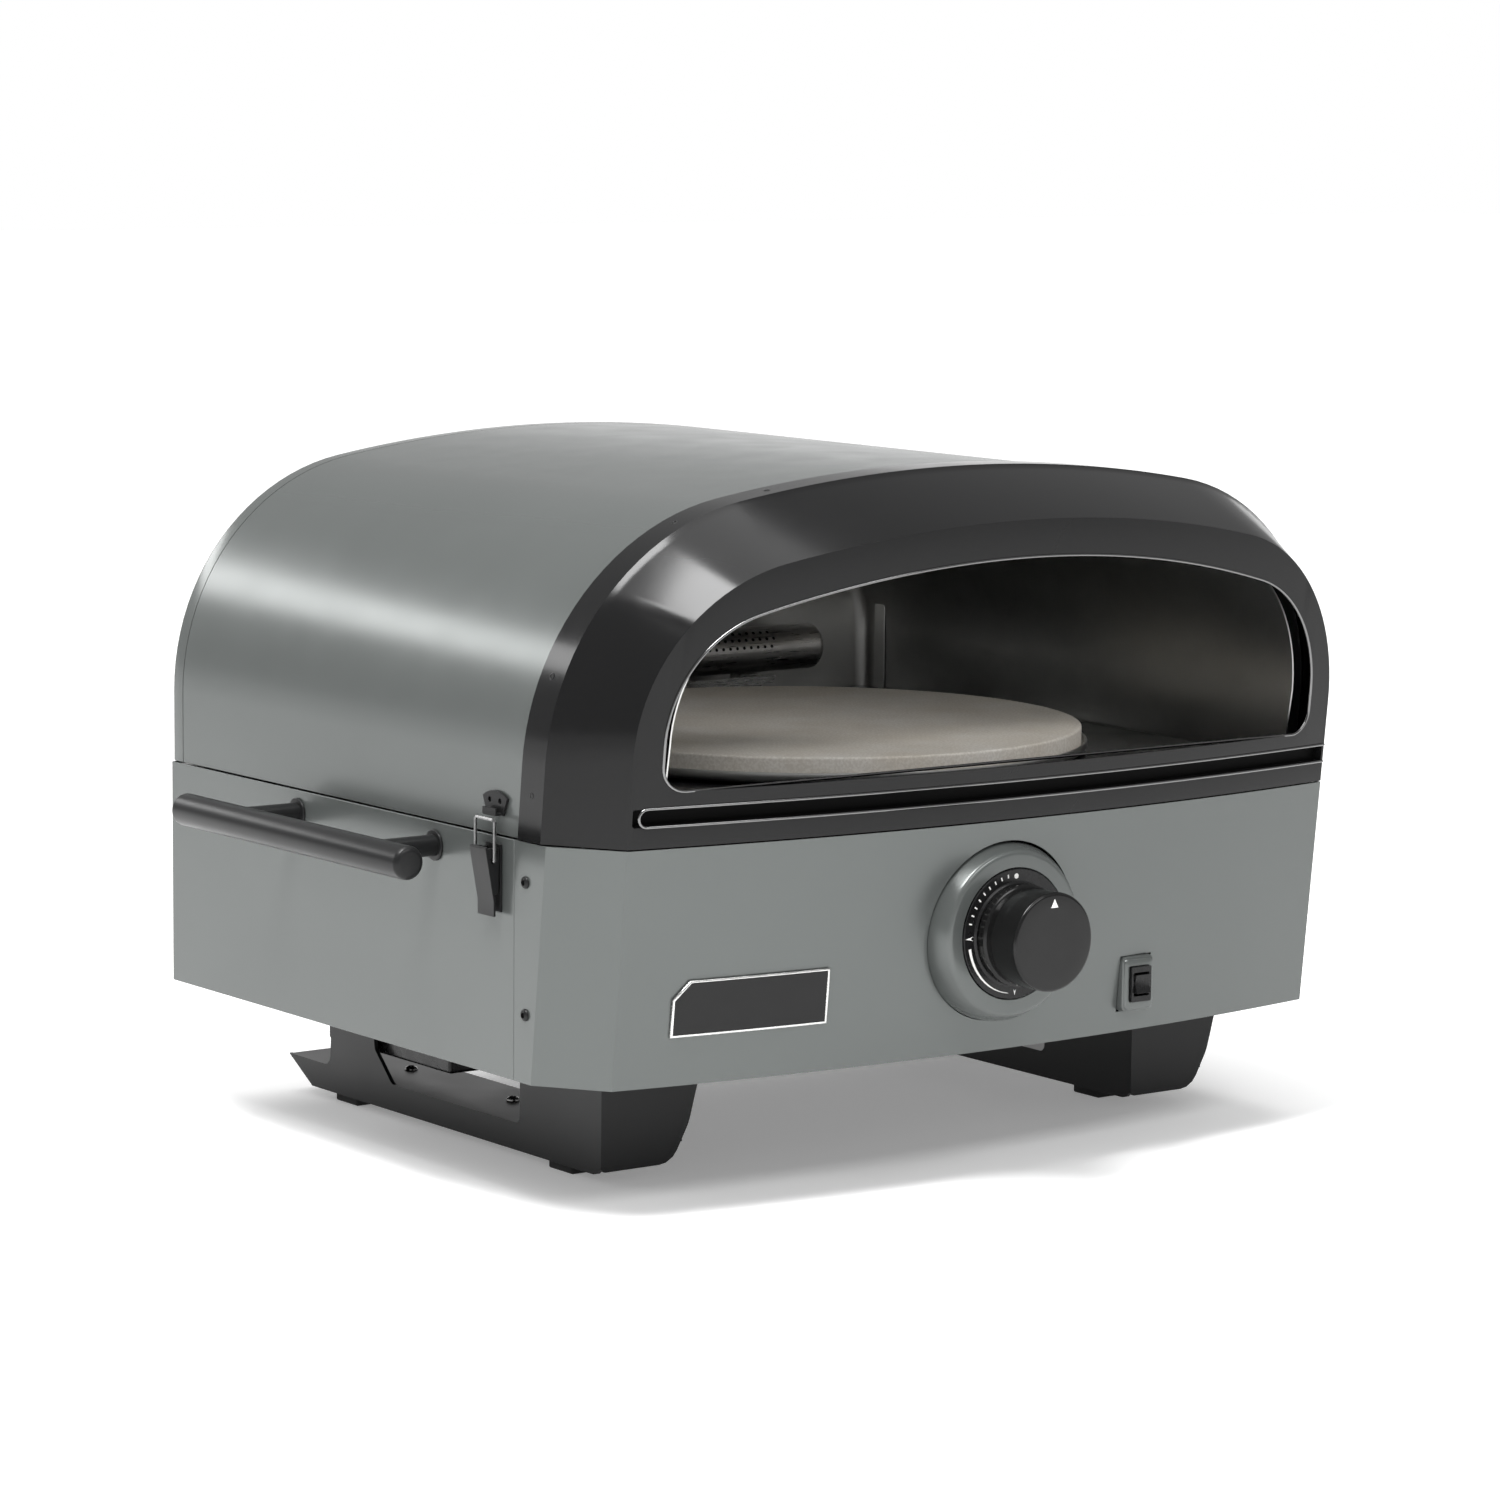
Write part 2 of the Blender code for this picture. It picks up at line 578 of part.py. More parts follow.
def hood_fascia():
    """Pressed front: flange over the hood, step, chamfer and the bowed face with its groove."""
    low = HOOD_LOW
    flange = arch(HALF + 0.0005, 0.2495, 0.1405, 80, low)
    crease = arch(HALF - 0.0025, 0.2495, 0.1375, 80, low)
    fold = arch(HALF - CORNER_X, 0.2560, 0.105, 78, low)
    band = [GROOVE[0], GROOVE[0] + 0.001, GROOVE[1] - 0.001, GROOVE[1]]

    def with_band(outline):
        """Adds the groove's heights to both walls, so that every section has them."""
        left = [(outline[0][0], z) for z in band]
        right = [(outline[-1][0], z) for z in reversed(band)]
        return [outline[0]] + left + outline[1:-1] + right + [outline[-1]]

    depth = FLANGE_BACK - 0.022
    sections = [
        [(x, lean_y(z, FLANGE_BACK), z) for x, z in with_band(flange)],
        [(x, lean_y(z, depth), z) for x, z in with_band(flange)],
        [(x, lean_y(z, depth - 0.0045), z) for x, z in with_band(crease)],
    ]
    edge = with_band(fold)
    sections.append([(x, front_y(x, z), z) for x, z in edge])
    shape = bmesh.new()
    rows = [[shape.verts.new(point) for point in section] for section in sections]
    for row, following in zip(rows, rows[1:]):
        for i in range(len(row) - 1):
            shape.faces.new((row[i], following[i], following[i + 1], row[i + 1]))
    walls = len(band) + 1
    tops = rows[-1][walls:-walls]
    heights = [low] + band
    columns = []
    last = len(tops) - 1
    for i, top in enumerate(tops):
        if i == 0:
            columns.append(rows[-1][:walls] + [top])
        elif i == last:
            columns.append(rows[-1][-1:-walls - 1:-1] + [top])
        else:
            inset = [0, 0, GROOVE_DEPTH, GROOVE_DEPTH, 0]
            column = [shape.verts.new((top.co.x, front_y(top.co.x, z, d), z))
                      for z, d in zip(heights, inset)]
            columns.append(column + [top])
    for column, following in zip(columns, columns[1:]):
        for i in range(walls):
            shape.faces.new((column[i], column[i + 1], following[i + 1], following[i]))
    fascia = add_bmesh("hood_fascia", shape, BLACK)
    wall = fascia.modifiers.new("sheet", "SOLIDIFY")
    wall.thickness = SHEET
    wall.offset = -1
    wall.use_even_offset = True
    opening = arch(0.2307, 0.263, 0.0715, 75, WINDOW_LOW + 0.014)[1:-1]
    opening += arc((0.2307 - 0.014, WINDOW_LOW + 0.014), 0.014, 0, -90, 3)
    opening += arc((-0.2307 + 0.014, WINDOW_LOW + 0.014), 0.014, -90, -180, 3)
    cutter = plate("window", [opening], "XZ", -(FRONT + 0.030), 0.12, None, group=CUTTERS)
    cut(fascia, cutter)


def hood_liner():
    """Inner arch and rear wall of the cooking chamber."""
    outline = arch(LINER_HALF, 0.262, 0.088, 77, 0.2085, 5, 4)
    front = [(x, front_y(x, z, 0.0045), z) for x, z in outline]
    back = [(x, LINER_BACK, z) for x, z in outline]
    liner = loft("hood_liner", [front, back], STEEL, SHEET, cap=True, offset=1.0)
    cut(liner, box("liner_notch", (-0.24, FRONT - 0.06, 0.200), (0.24, FRONT + 0.0025, 0.2315), None,
                   group=CUTTERS))


def hinge(side, word):
    """Base leaf with two lugs and the pin, and the hood leaf whose barrel turns on it."""
    x = side * HINGE_X
    base = box(f"hinge_base_{word}", (x - 0.022, BACK + GAP, 0.180),
               (x + 0.022, BACK + GAP + 0.002, HINGE_Z - 0.0045), STEEL)
    for end in (-1, 1):
        across = sorted((x + end * 0.022, x + end * 0.0115))
        lug = box(f"lug_{word}_{end}", (across[0], BACK + GAP + 0.0005, HINGE_Z - 0.0075),
                  (across[1], HINGE_Y + 0.0040, HINGE_Z + 0.0040), None, group=CUTTERS)
        cut(base, lug, "UNION")
    cut(base, rod(f"pin_{word}", (x - 0.021, HINGE_Y, HINGE_Z), (x + 0.021, HINGE_Y, HINGE_Z),
                  0.0022, None, 16, group=CUTTERS), "UNION")
    leaf = box(f"hinge_leaf_{word}", (x - 0.022, HOOD_BACK + GAP, HINGE_Z + 0.0070),
               (x + 0.022, HOOD_BACK + GAP + 0.002, 0.245), STEEL)
    web = box(f"web_{word}", (x - 0.0110, HOOD_BACK + 0.001, HINGE_Z + 0.0010),
              (x + 0.0110, HINGE_Y + 0.0020, HINGE_Z + 0.0085), None, group=CUTTERS)
    barrel = rod(f"barrel_{word}", (x - 0.0108, HINGE_Y, HINGE_Z), (x + 0.0108, HINGE_Y, HINGE_Z),
                 0.0045, None, 20, group=CUTTERS)
    bore = rod(f"bore_{word}", (x - 0.03, HINGE_Y, HINGE_Z), (x + 0.03, HINGE_Y, HINGE_Z), 0.0026,
               None, 16, group=CUTTERS)
    cut(leaf, web, "UNION")
    cut(leaf, barrel, "UNION")
    cut(leaf, bore)


# ---------------------------------------------------------------- handles and latches


def handle(side, word):
    x = side * (HALF + HANDLE_OUT)
    half = HANDLE_LONG / 2
    dome = arc((0, half - 0.0060), 0.0060, 90, 30, 2)
    profile = [(0, half)] + [(0.0034 + r, h) for r, h in dome] + [(0.0094, half - 0.0060)]
    profile += [(r, -h) for r, h in reversed(profile)]
    turned(f"handle_{word}", profile, (x, HANDLE_Y, HANDLE_Z), DARK, (0, 1, 0), 24)
    for end, place in ((-1, "front"), (1, "rear")):
        y = HANDLE_Y + end * POST_SPACING / 2
        start = (side * (HALF + GAP), y, HANDLE_Z)
        finish = (side * (HALF + HANDLE_OUT - 0.0097), y, HANDLE_Z)
        rod(f"handle_post_{word}_{place}", start, finish, 0.006, DARK, 16)


def latch(side, word):
    """Base and lever on the lower body, wire bail on the lever, keeper on the hood."""
    wall = HALF + GAP
    y = LATCH_Y
    out, z = LATCH_PIVOT
    base = flat_box(f"latch_base_{word}", side, wall, wall + 0.0012, y - 0.0075, y + 0.0075, 0.1660,
                    z + 0.0040, DARK)
    for end in (-1, 1):
        ys = sorted((y + end * 0.0062, y + end * 0.0050))
        ear = flat_box(f"ear_{word}_{end}", side, wall + 0.0005, wall + out + 0.0020, ys[0], ys[1],
                       z - 0.0060, z + 0.0020, None, group=CUTTERS)
        cut(base, ear, "UNION")
    pin = across_y(f"lever_pin_{word}", side, wall + out, z, y, 0.0076, 0.0012)
    cut(base, pin, "UNION")
    lever(side, word, wall, y)
    bail(side, word, wall, y)
    keeper(side, word, y)


def across_y(name, side, out, z, y, half, radius):
    """A pin or bore along Y on one side of the oven."""
    return rod(name, (side * out, y - half, z), (side * out, y + half, z), radius, None, 12,
               group=CUTTERS)


def lever(side, word, wall, y):
    """Tapering channel: sloping outer face, two side flanges and a flared finger tab."""
    out, z = LATCH_PIVOT
    face = [(0.0045, 0.1725), (0.0045, 0.1640), (0.0057, 0.1638), (0.0058, 0.1722), (0.0112, 0.2015),
            (0.0100, 0.2025)]
    outer = [(0.0058, 0.1760), (0.0104, 0.2010), (0.0078, 0.2016), (out - 0.0005, z + 0.0023),
             (out - 0.0021, z + 0.0006), (0.0022, 0.1960), (0.0030, 0.1760)]

    def drawn(outline):
        return [(side * (wall + u), v) for u, v in outline]

    made = plate(f"latch_lever_{word}", [drawn(face)], "XZ", -(y + 0.0080), 0.0160, DARK)
    for end in (-1, 1):
        level = -(y + 0.0080) if end > 0 else -(y - 0.0066)
        flange = plate(f"flange_{word}_{end}", [drawn(outer)], "XZ", level, 0.0014, None,
                       group=CUTTERS)
        cut(made, flange, "UNION")
    cut(made, across_y(f"lever_bore_{word}", side, wall + out, z, y, 0.02, 0.0015))
    cut(made, across_y(f"bail_bore_{word}", side, wall + BAIL_PIVOT[0], BAIL_PIVOT[1], y, 0.02,
                       0.0013))


def bail(side, word, wall, y):
    """Rectangular wire loop whose ends turn in through the lever's side flanges."""
    out = side * (wall + BAIL_PIVOT[0])
    low = BAIL_PIVOT[1]
    high = low + 0.0225
    half = 0.0094
    loop = [(half - 0.0026, low), (half - 0.0003, low), (half, low + 0.0003), (half, high - 0.0012),
            (half - 0.0012, high)]
    route = [(out, y - v, w) for v, w in loop] + [(out, y + v, w) for v, w in reversed(loop)]
    made = pipe(f"latch_bail_{word}", route)
    made.data.bevel_depth = 0.0010


def keeper(side, word, y):
    """Fan-shaped plate on the hood with two holes and a small hook."""
    shift = HALF - 0.0015 + GAP
    low, high = 0.2185, 0.2280
    crown = arc((y, high - 0.0175), 0.0212, 56, 124, 6)
    edge = [(y - 0.0077, low), (y + 0.0077, low)] + crown
    holes = [circle(y + v, 0.2263, 0.0015, 10) for v in (-0.0050, 0.0050)]
    level = shift if side > 0 else -shift - 0.0016
    made = plate(f"keeper_{word}", [edge] + holes, "YZ", level, 0.0016, DARK)
    for number, (inner, top) in enumerate(((0.0005, 0.0014), (0.0040, 0.0042))):
        hook = flat_box(f"hook_{word}_{number}", side, shift + inner, shift + 0.0054, y - 0.0065,
                        y + 0.0065, low, low + top, None, group=CUTTERS)
        cut(made, hook, "UNION")


def panel_screws(side, word):
    for place, z in (("high", 0.1852), ("low", 0.1128)):
        y = SEAM - 0.0110
        turned(f"panel_screw_{word}_{place}",
               [(0, 0.0016), (0.0020, 0.0014), (0.0032, 0.0006), (0.0034, 0.0), (0, 0.0)],
               (side * (HALF + GAP), y, z), DARK, (side, 0, 0), 14)


def main():
    base_shell()
    front_panel()
    bottom_pan()
    deck()
    mirrored(leg)
    battery_box()
    burner()
    gas_train()
    drive()
    dial()
    switch()
    badge()
    hood_shell()
    hood_rear_panel()
    hood_fascia()
    hood_liner()
    mirrored(hinge)
    mirrored(handle)
    mirrored(latch)
    mirrored(panel_screws)


main()
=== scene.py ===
"""Looks of the countertop pizza oven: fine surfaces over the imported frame, materials,
a plain studio and the camera. Metres, +Z up, the front faces -Y."""

import json
import math

import bmesh
import bpy
from mathutils import Matrix, Vector


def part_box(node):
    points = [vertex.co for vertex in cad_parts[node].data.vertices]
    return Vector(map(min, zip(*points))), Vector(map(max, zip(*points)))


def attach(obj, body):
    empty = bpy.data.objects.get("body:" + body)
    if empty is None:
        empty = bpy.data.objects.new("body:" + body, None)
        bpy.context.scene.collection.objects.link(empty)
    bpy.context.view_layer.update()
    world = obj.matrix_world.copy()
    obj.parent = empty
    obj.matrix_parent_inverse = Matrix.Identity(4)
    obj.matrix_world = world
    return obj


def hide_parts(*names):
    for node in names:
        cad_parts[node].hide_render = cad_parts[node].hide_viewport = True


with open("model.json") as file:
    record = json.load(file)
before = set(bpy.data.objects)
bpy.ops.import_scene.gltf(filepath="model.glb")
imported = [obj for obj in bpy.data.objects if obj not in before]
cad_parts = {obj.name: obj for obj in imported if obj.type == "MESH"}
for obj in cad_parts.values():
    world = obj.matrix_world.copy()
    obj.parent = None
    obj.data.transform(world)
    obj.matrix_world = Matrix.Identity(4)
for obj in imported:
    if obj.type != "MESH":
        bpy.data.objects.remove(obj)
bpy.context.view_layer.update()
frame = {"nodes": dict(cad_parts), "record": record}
nodes = frame["nodes"]
MM = 0.001

# Shape of the shell, as the frame has it
BODY_LOW, BODY_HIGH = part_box("base_shell")[0][2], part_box("base_shell")[1][2]
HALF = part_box("base_shell")[1][0]
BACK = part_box("base_shell")[1][1]
HOOD_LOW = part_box("hood_shell")[0][2]
HOOD_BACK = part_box("hood_rear_panel")[1][1]
STRIP_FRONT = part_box("hood_rear_panel")[0][1]
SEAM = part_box("front_panel")[1][1]
FLANGE_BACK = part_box("hood_fascia")[1][1]
FRONT = -0.2045
CORNER_X, CORNER_Y = 26.5 * MM, 38 * MM
LEAN = 0.1023
BOW = 21.6 * MM
SHEET = 1.2 * MM
GROOVE_LOW, GROOVE_HIGH = 0.2195, 0.2295
GROOVE_DEPTH = 6 * MM
GROOVE_LEFT = -0.2465
WINDOW_LOW, WINDOW_HALF = 0.238, 0.2307
WINDOW_CORNER = 14 * MM
BEAD_RADIUS = 0.9 * MM
HOOD_SPRING = 0.2495
KNOB_FACE = 34.3 * MM
BEZEL_PROUD = 12.5 * MM
DIAL_FACE = 13.2 * MM
PANEL_AT_DIAL = -0.2190
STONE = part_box("pizza_stone")
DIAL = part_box("dial_bezel")
SURROUND = 0.42  # brightness of the room as the oven sees it; the camera sees white
SKY_POWER = 2.0


# ---------------------------------------------------------------- materials


class Finish:
    """A node material with helpers for noise in object space."""

    def __init__(self, name, colour, roughness, metallic=0.0, **sockets):
        self.made = bpy.data.materials.new(name)
        self.made.use_nodes = True
        self.tree = self.made.node_tree
        self.shader = self.tree.nodes["Principled BSDF"]
        self.set("Base Color", (*colour, 1.0))
        self.set("Roughness", roughness)
        self.set("Metallic", metallic)
        for key, value in sockets.items():
            self.set(key.replace("_", " "), value)
        self.colour = colour
        self.roughness = roughness
        self.place = self.node("ShaderNodeTexCoord").outputs["Object"]
        self.height = None

    def node(self, kind, **values):
        made = self.tree.nodes.new(kind)
        for key, value in values.items():
            setattr(made, key, value)
        return made

    def set(self, socket, value):
        self.shader.inputs[socket].default_value = value

    def link(self, source, target):
        self.tree.links.new(source, target)

    def noise(self, size, detail=2.0, stretch=(1, 1, 1), rough=0.5):
        """Noise whose features are about the given size in metres."""
        scaled = self.node("ShaderNodeMapping")
        scaled.inputs["Scale"].default_value = [1 / (size * s) for s in stretch]
        made = self.node("ShaderNodeTexNoise")
        made.inputs["Scale"].default_value = 1.0
        made.inputs["Detail"].default_value = detail
        made.inputs["Roughness"].default_value = rough
        self.link(self.place, scaled.inputs["Vector"])
        self.link(scaled.outputs["Vector"], made.inputs["Vector"])
        return made.outputs["Fac"]

    def ramp(self, fac, low, high, low_colour, high_colour):
        made = self.node("ShaderNodeValToRGB")
        ends = made.color_ramp.elements
        ends[0].position, ends[1].position = low, high
        ends[0].color, ends[1].color = (*low_colour, 1), (*high_colour, 1)
        self.link(fac, made.inputs["Fac"])
        return made.outputs["Color"]

    def tint(self, fac, spread, low=0.3, high=0.7):
        """Varies the colour a little either side of its value."""
        dark = [c * (1 - spread) for c in self.colour]
        light = [min(c * (1 + spread), 1) for c in self.colour]
        self.link(self.ramp(fac, low, high, dark, light), self.shader.inputs["Base Color"])
        return self

    def vary_roughness(self, fac, spread, low=0.3, high=0.7):
        made = self.node("ShaderNodeMapRange")
        made.inputs["From Min"].default_value = low
        made.inputs["From Max"].default_value = high
        made.inputs["To Min"].default_value = max(self.roughness - spread, 0.02)
        made.inputs["To Max"].default_value = min(self.roughness + spread, 1)
        self.link(fac, made.inputs["Value"])
        self.link(made.outputs["Result"], self.shader.inputs["Roughness"])
        return self

    def bump(self, fac, depth, strength=1.0):
        made = self.node("ShaderNodeBump")
        made.inputs["Distance"].default_value = depth
        made.inputs["Strength"].default_value = strength
        if self.height:
            self.link(self.height, made.inputs["Normal"])
        self.link(fac, made.inputs["Height"])
        self.height = made.outputs["Normal"]
        self.link(self.height, self.shader.inputs["Normal"])
        return self


def powder_coat(name, colour, roughness, grain=0.0011, depth=0.00001, metallic=0.0,
                gloss=0.4):
    """Satin powder coat: fine orange peel with faint broad unevenness."""
    coat = Finish(name, colour, roughness, metallic, Specular_IOR_Level=gloss)
    coat.tint(coat.noise(0.12, 2.0), 0.02)
    coat.vary_roughness(coat.noise(0.03, 2.0), 0.015)
    coat.bump(coat.noise(grain, 2.0), depth, 0.3)
    return coat.made


def enamel(name, colour, roughness):
    """Glossy black enamel with a long soft wave and a trace of fine grain."""
    glass = Finish(name, colour, roughness, Specular_IOR_Level=0.2)
    glass.vary_roughness(glass.noise(0.05, 4.0), 0.035)
    glass.tint(glass.noise(0.12, 2.0), 0.08)
    glass.bump(glass.noise(0.0022, 2.0), 0.00003, 0.25)
    return glass.made


def brushed(name, colour, roughness, along=(14, 1, 1), depth=0.3):
    """Stainless steel with fine lines along one direction."""
    steel = Finish(name, colour, roughness, 1.0)
    lines = steel.noise(0.0009, 3.0, along)
    steel.vary_roughness(lines, 0.3 * depth)
    steel.bump(lines, 0.00002, depth)
    steel.tint(steel.noise(0.05, 3.0), 0.05)
    return steel.made


def moulded(name, colour, roughness, grain=0.0006):
    plastic = Finish(name, colour, roughness, Specular_IOR_Level=0.25)
    plastic.tint(plastic.noise(0.02, 3.0), 0.10)
    plastic.vary_roughness(plastic.noise(0.006, 3.0), 0.05)
    plastic.bump(plastic.noise(grain, 2.0), 0.00003, 0.45)
    return plastic.made


def ceramic_stone(name):
    """Pressed cordierite: pale cream with fine pores."""
    stone = Finish(name, (0.80, 0.76, 0.70), 0.88, Specular_IOR_Level=0.2)
    speck = stone.ramp(stone.noise(0.0016, 3.0), 0.42, 0.62, (0.68, 0.645, 0.59), (0.78, 0.75, 0.70))
    cloud = stone.ramp(stone.noise(0.045, 4.0), 0.35, 0.7, (0.90, 0.87, 0.83), (1.0, 1.0, 1.0))
    mix = stone.node("ShaderNodeMix", data_type="RGBA", blend_type="MULTIPLY")
    mix.inputs["Factor"].default_value = 1.0
    stone.link(speck, mix.inputs["A"])
    stone.link(cloud, mix.inputs["B"])
    stone.link(mix.outputs["Result"], stone.shader.inputs["Base Color"])
    stone.bump(stone.noise(0.0012, 4.0), 0.00008, 0.5)
    stone.bump(stone.noise(0.02, 2.0), 0.0003, 0.25)
    return stone.made


def fibre_board(name):
    board = Finish(name, (0.72, 0.69, 0.63), 0.95)
    board.tint(board.noise(0.004, 4.0), 0.10)
    board.bump(board.noise(0.0008, 3.0, (1, 1, 4)), 0.00012, 0.6)
    return board.made


def black_rubber(name):
    rubber = Finish(name, (0.022, 0.022, 0.022), 0.8, Specular_IOR_Level=0.3)
    rubber.tint(rubber.noise(0.01, 3.0), 0.2)
    rubber.bump(rubber.noise(0.0007, 3.0), 0.00006, 0.6)
    return rubber.made


# Flat colour with a faint speckle, used for white print and for near-black painted shade.
def print_and_painted_shade(name, colour, gloss=0.4):
    flat_paint = Finish(name, colour, 0.5, Specular_IOR_Level=gloss)
    flat_paint.tint(flat_paint.noise(0.002, 2.0), 0.04)
    return flat_paint.made


GREY = powder_coat("grey_powder_coat", (0.102, 0.110, 0.107), 0.24, metallic=0.38)
DARK = powder_coat("black_powder_coat_fine", (0.010, 0.0102, 0.0105), 0.34, 0.0009, 0.00003, gloss=0.2)
ENAMEL = enamel("black_gloss_enamel", (0.007, 0.007, 0.0072), 0.15)
FLOOR_ENAMEL = enamel("black_floor_enamel", (0.010, 0.010, 0.011), 0.10)
STEEL = brushed("stainless_fine_lines", (0.60, 0.60, 0.59), 0.26)
LINER = brushed("chamber_stainless", (0.50, 0.50, 0.49), 0.33, (1, 30, 1), 0.05)
WIRE = brushed("zinc_plated_wire", (0.20, 0.20, 0.20), 0.30, (1, 1, 10))
BURNER = brushed("burner_stainless", (0.52, 0.51, 0.50), 0.33, (20, 1, 1))
BRASS = brushed("machined_brass", (0.62, 0.44, 0.19), 0.3, (1, 10, 1))
PLASTIC = moulded("black_moulded", (0.007, 0.007, 0.0073), 0.28)
GLOSS = moulded("black_gloss_moulded", (0.007, 0.007, 0.007), 0.16, 0.002)
BADGE_BLACK = moulded("badge_field", (0.004, 0.004, 0.0042), 0.22, 0.001)
RUBBER = black_rubber("pad_rubber")
CORDIERITE = ceramic_stone("cordierite_stone")
BOARD = fibre_board("fibre_board")
INK = print_and_painted_shade("white_print", (0.80, 0.80, 0.78))
# Near-black painted shade for the groove's floor and the burner's ports, where only shade falls.
RECESS_SHADE = print_and_painted_shade("painted_recess_shade", (0.003, 0.003, 0.003), 0.03)
# Brighter metal than the fascia's enamel for its rolled lips: a painted highlight along their edges.
EDGE_HIGHLIGHT = brushed("painted_edge_highlight", (0.17, 0.17, 0.17), 0.14, (1, 1, 1), 0.05)


# ---------------------------------------------------------------- mesh tools


def round_edges(made, width, segments=3, angle=28):
    rounding = made.modifiers.new("round", "BEVEL")
    rounding.width = width
    rounding.segments = segments
    rounding.limit_method = "ANGLE"
    rounding.angle_limit = math.radians(angle)
    rounding.use_clamp_overlap = True
    rounding.harden_normals = False
    return made


def even_shading(made):
    """Keeps flat faces flat beside their rounded edges."""
    weighted = made.modifiers.new("even", "WEIGHTED_NORMAL")
    weighted.keep_sharp = True


def shade(made, angle=32):
    made.data.shade_smooth()
    made.data.set_sharp_from_angle(angle=math.radians(angle))
    return made


def piece(name, shape, finish, body, stands_for=(), bevel=0.0, segments=3, sharp=50, angle=28):
    """A detailed piece from a bmesh in the row frame, riding on a CAD body."""
    bmesh.ops.recalc_face_normals(shape, faces=shape.faces)
    mesh = bpy.data.meshes.new(name)
    shape.to_mesh(mesh)
    shape.free()
    made = bpy.data.objects.new(name, mesh)
    bpy.context.scene.collection.objects.link(made)
    mesh.materials.append(finish)
    shade(made, sharp)
    if bevel:
        round_edges(made, bevel, segments, angle)
        even_shading(made)
    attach(made, body)
    if stands_for:
        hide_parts(*stands_for)
    return made


def sheet_of(made, thick, offset=-1.0):
    """Thickens an open surface; the Solidify goes before any Bevel."""
    wall = made.modifiers.new("sheet", "SOLIDIFY")
    wall.thickness = thick
    wall.offset = offset
    wall.use_even_offset = True
    for index, modifier in enumerate(made.modifiers):
        if modifier.type == "BEVEL":
            made.modifiers.move(len(made.modifiers) - 1, index)
            break
    return made


def lofted(shape, sections, closed=False, cap_first=False, cap_last=False):
    rows = [[shape.verts.new(point) for point in section] for section in sections]
    for row, following in zip(rows, rows[1:]):
        count = len(row) if closed else len(row) - 1
        for i in range(count):
            j = (i + 1) % len(row)
            shape.faces.new((row[i], following[i], following[j], row[j]))
    if cap_first:
        shape.faces.new(rows[0])
    if cap_last:
        shape.faces.new(rows[-1])
    return rows


def spun(shape, profile, centre, axis, sides=96):
    """Turns (radius, height) points about an axis through a centre; ends on the axis close."""
    turn = Vector((0, 0, 1)).rotation_difference(Vector(axis)).to_matrix()
    centre = Vector(centre)
    rows = []
    for radius, height in profile:
        if radius == 0:
            rows.append([shape.verts.new(centre + turn @ Vector((0, 0, height)))])
            continue
        ring = [(radius * math.cos(math.tau * i / sides), radius * math.sin(math.tau * i / sides))
                for i in range(sides)]
        rows.append([shape.verts.new(centre + turn @ Vector((x, y, height))) for x, y in ring])
    for row, following in zip(rows, rows[1:]):
        for i in range(sides):
            j = (i + 1) % sides
            corners = [row[i % len(row)], row[j % len(row)], following[j % len(following)],
                       following[i % len(following)]]
            corners = [v for k, v in enumerate(corners) if v not in corners[:k]]
            if len(corners) > 2:
                shape.faces.new(corners)
    return shape


def block(shape, low, high):
    """A box between two corners, added to a bmesh."""
    made = bmesh.ops.create_cube(shape, size=1.0)["verts"]
    for vert in made:
        vert.co = Vector([a + (c + 0.5) * (b - a) for a, b, c in zip(low, high, vert.co)])
    return made


def arc(centre, radius, start, end, steps):
    """Points on an arc, angles in degrees."""
    span = [math.radians(start + (end - start) * i / steps) for i in range(steps + 1)]
    return [(centre[0] + radius * math.cos(a), centre[1] + radius * math.sin(a)) for a in span]


def arch(half, spring, radius, turn, low, corner_steps=22, top_steps=16):
    """Points (x, z) of an arch: two walls, two corner arcs and one shallow top arc."""
    left = arc((-half + radius, spring), radius, 180, 180 - turn, corner_steps)
    x1, z1 = left[-1]
    top_radius = -x1 / math.cos(math.radians(turn))
    centre = (0, z1 - top_radius * math.sin(math.radians(turn)))
    top = arc(centre, top_radius, 180 - turn, turn, 2 * top_steps)[1:-1]
    right = [(-x, z) for x, z in reversed(left)]
    return [(-half, low)] + left + top + right + [(half, low)]


def bulge(x):
    """How far the bowed front stands out at x, zero at its corner folds."""
    half = HALF - CORNER_X
    radius = (half * half + BOW * BOW) / (2 * BOW)
    return math.sqrt(max(radius * radius - x * x, 0)) - (radius - BOW)


def front_y(x, z, inset=0.0):
    """The bowed, leaning front face."""
    return FRONT - (z - BODY_HIGH) * LEAN - bulge(x) + inset


def lean_y(z, at_low):
    return at_low - (z - HOOD_LOW) * LEAN


def hood_arch():
    return arch(HALF - 1.5 * MM, HOOD_SPRING, 0.1385, 80, HOOD_LOW)


def boolean(made, shape, name):
    """Cuts a bmesh out of a piece."""
    bmesh.ops.recalc_face_normals(shape, faces=shape.faces)
    mesh = bpy.data.meshes.new(name)
    shape.to_mesh(mesh)
    shape.free()
    cutter = bpy.data.objects.new(name, mesh)
    bpy.context.scene.collection.objects.link(cutter)
    step = made.modifiers.new(name, "BOOLEAN")
    step.operation = "DIFFERENCE"
    step.object = cutter
    names = [m.name for m in made.modifiers if m.type == "BEVEL"]
    if names:
        made.modifiers.move(len(made.modifiers) - 1, made.modifiers.find(names[0]))
    return cutter


def settle(made, *cutters):
    """Applies a piece's modifiers, then removes its cutters."""
    bpy.context.view_layer.update()
    graph = bpy.context.evaluated_depsgraph_get()
    mesh = bpy.data.meshes.new_from_object(made.evaluated_get(graph))
    made.modifiers.clear()
    made.data = mesh
    for cutter in cutters:
        bpy.data.objects.remove(cutter)
    return made


# ---------------------------------------------------------------- shell pieces


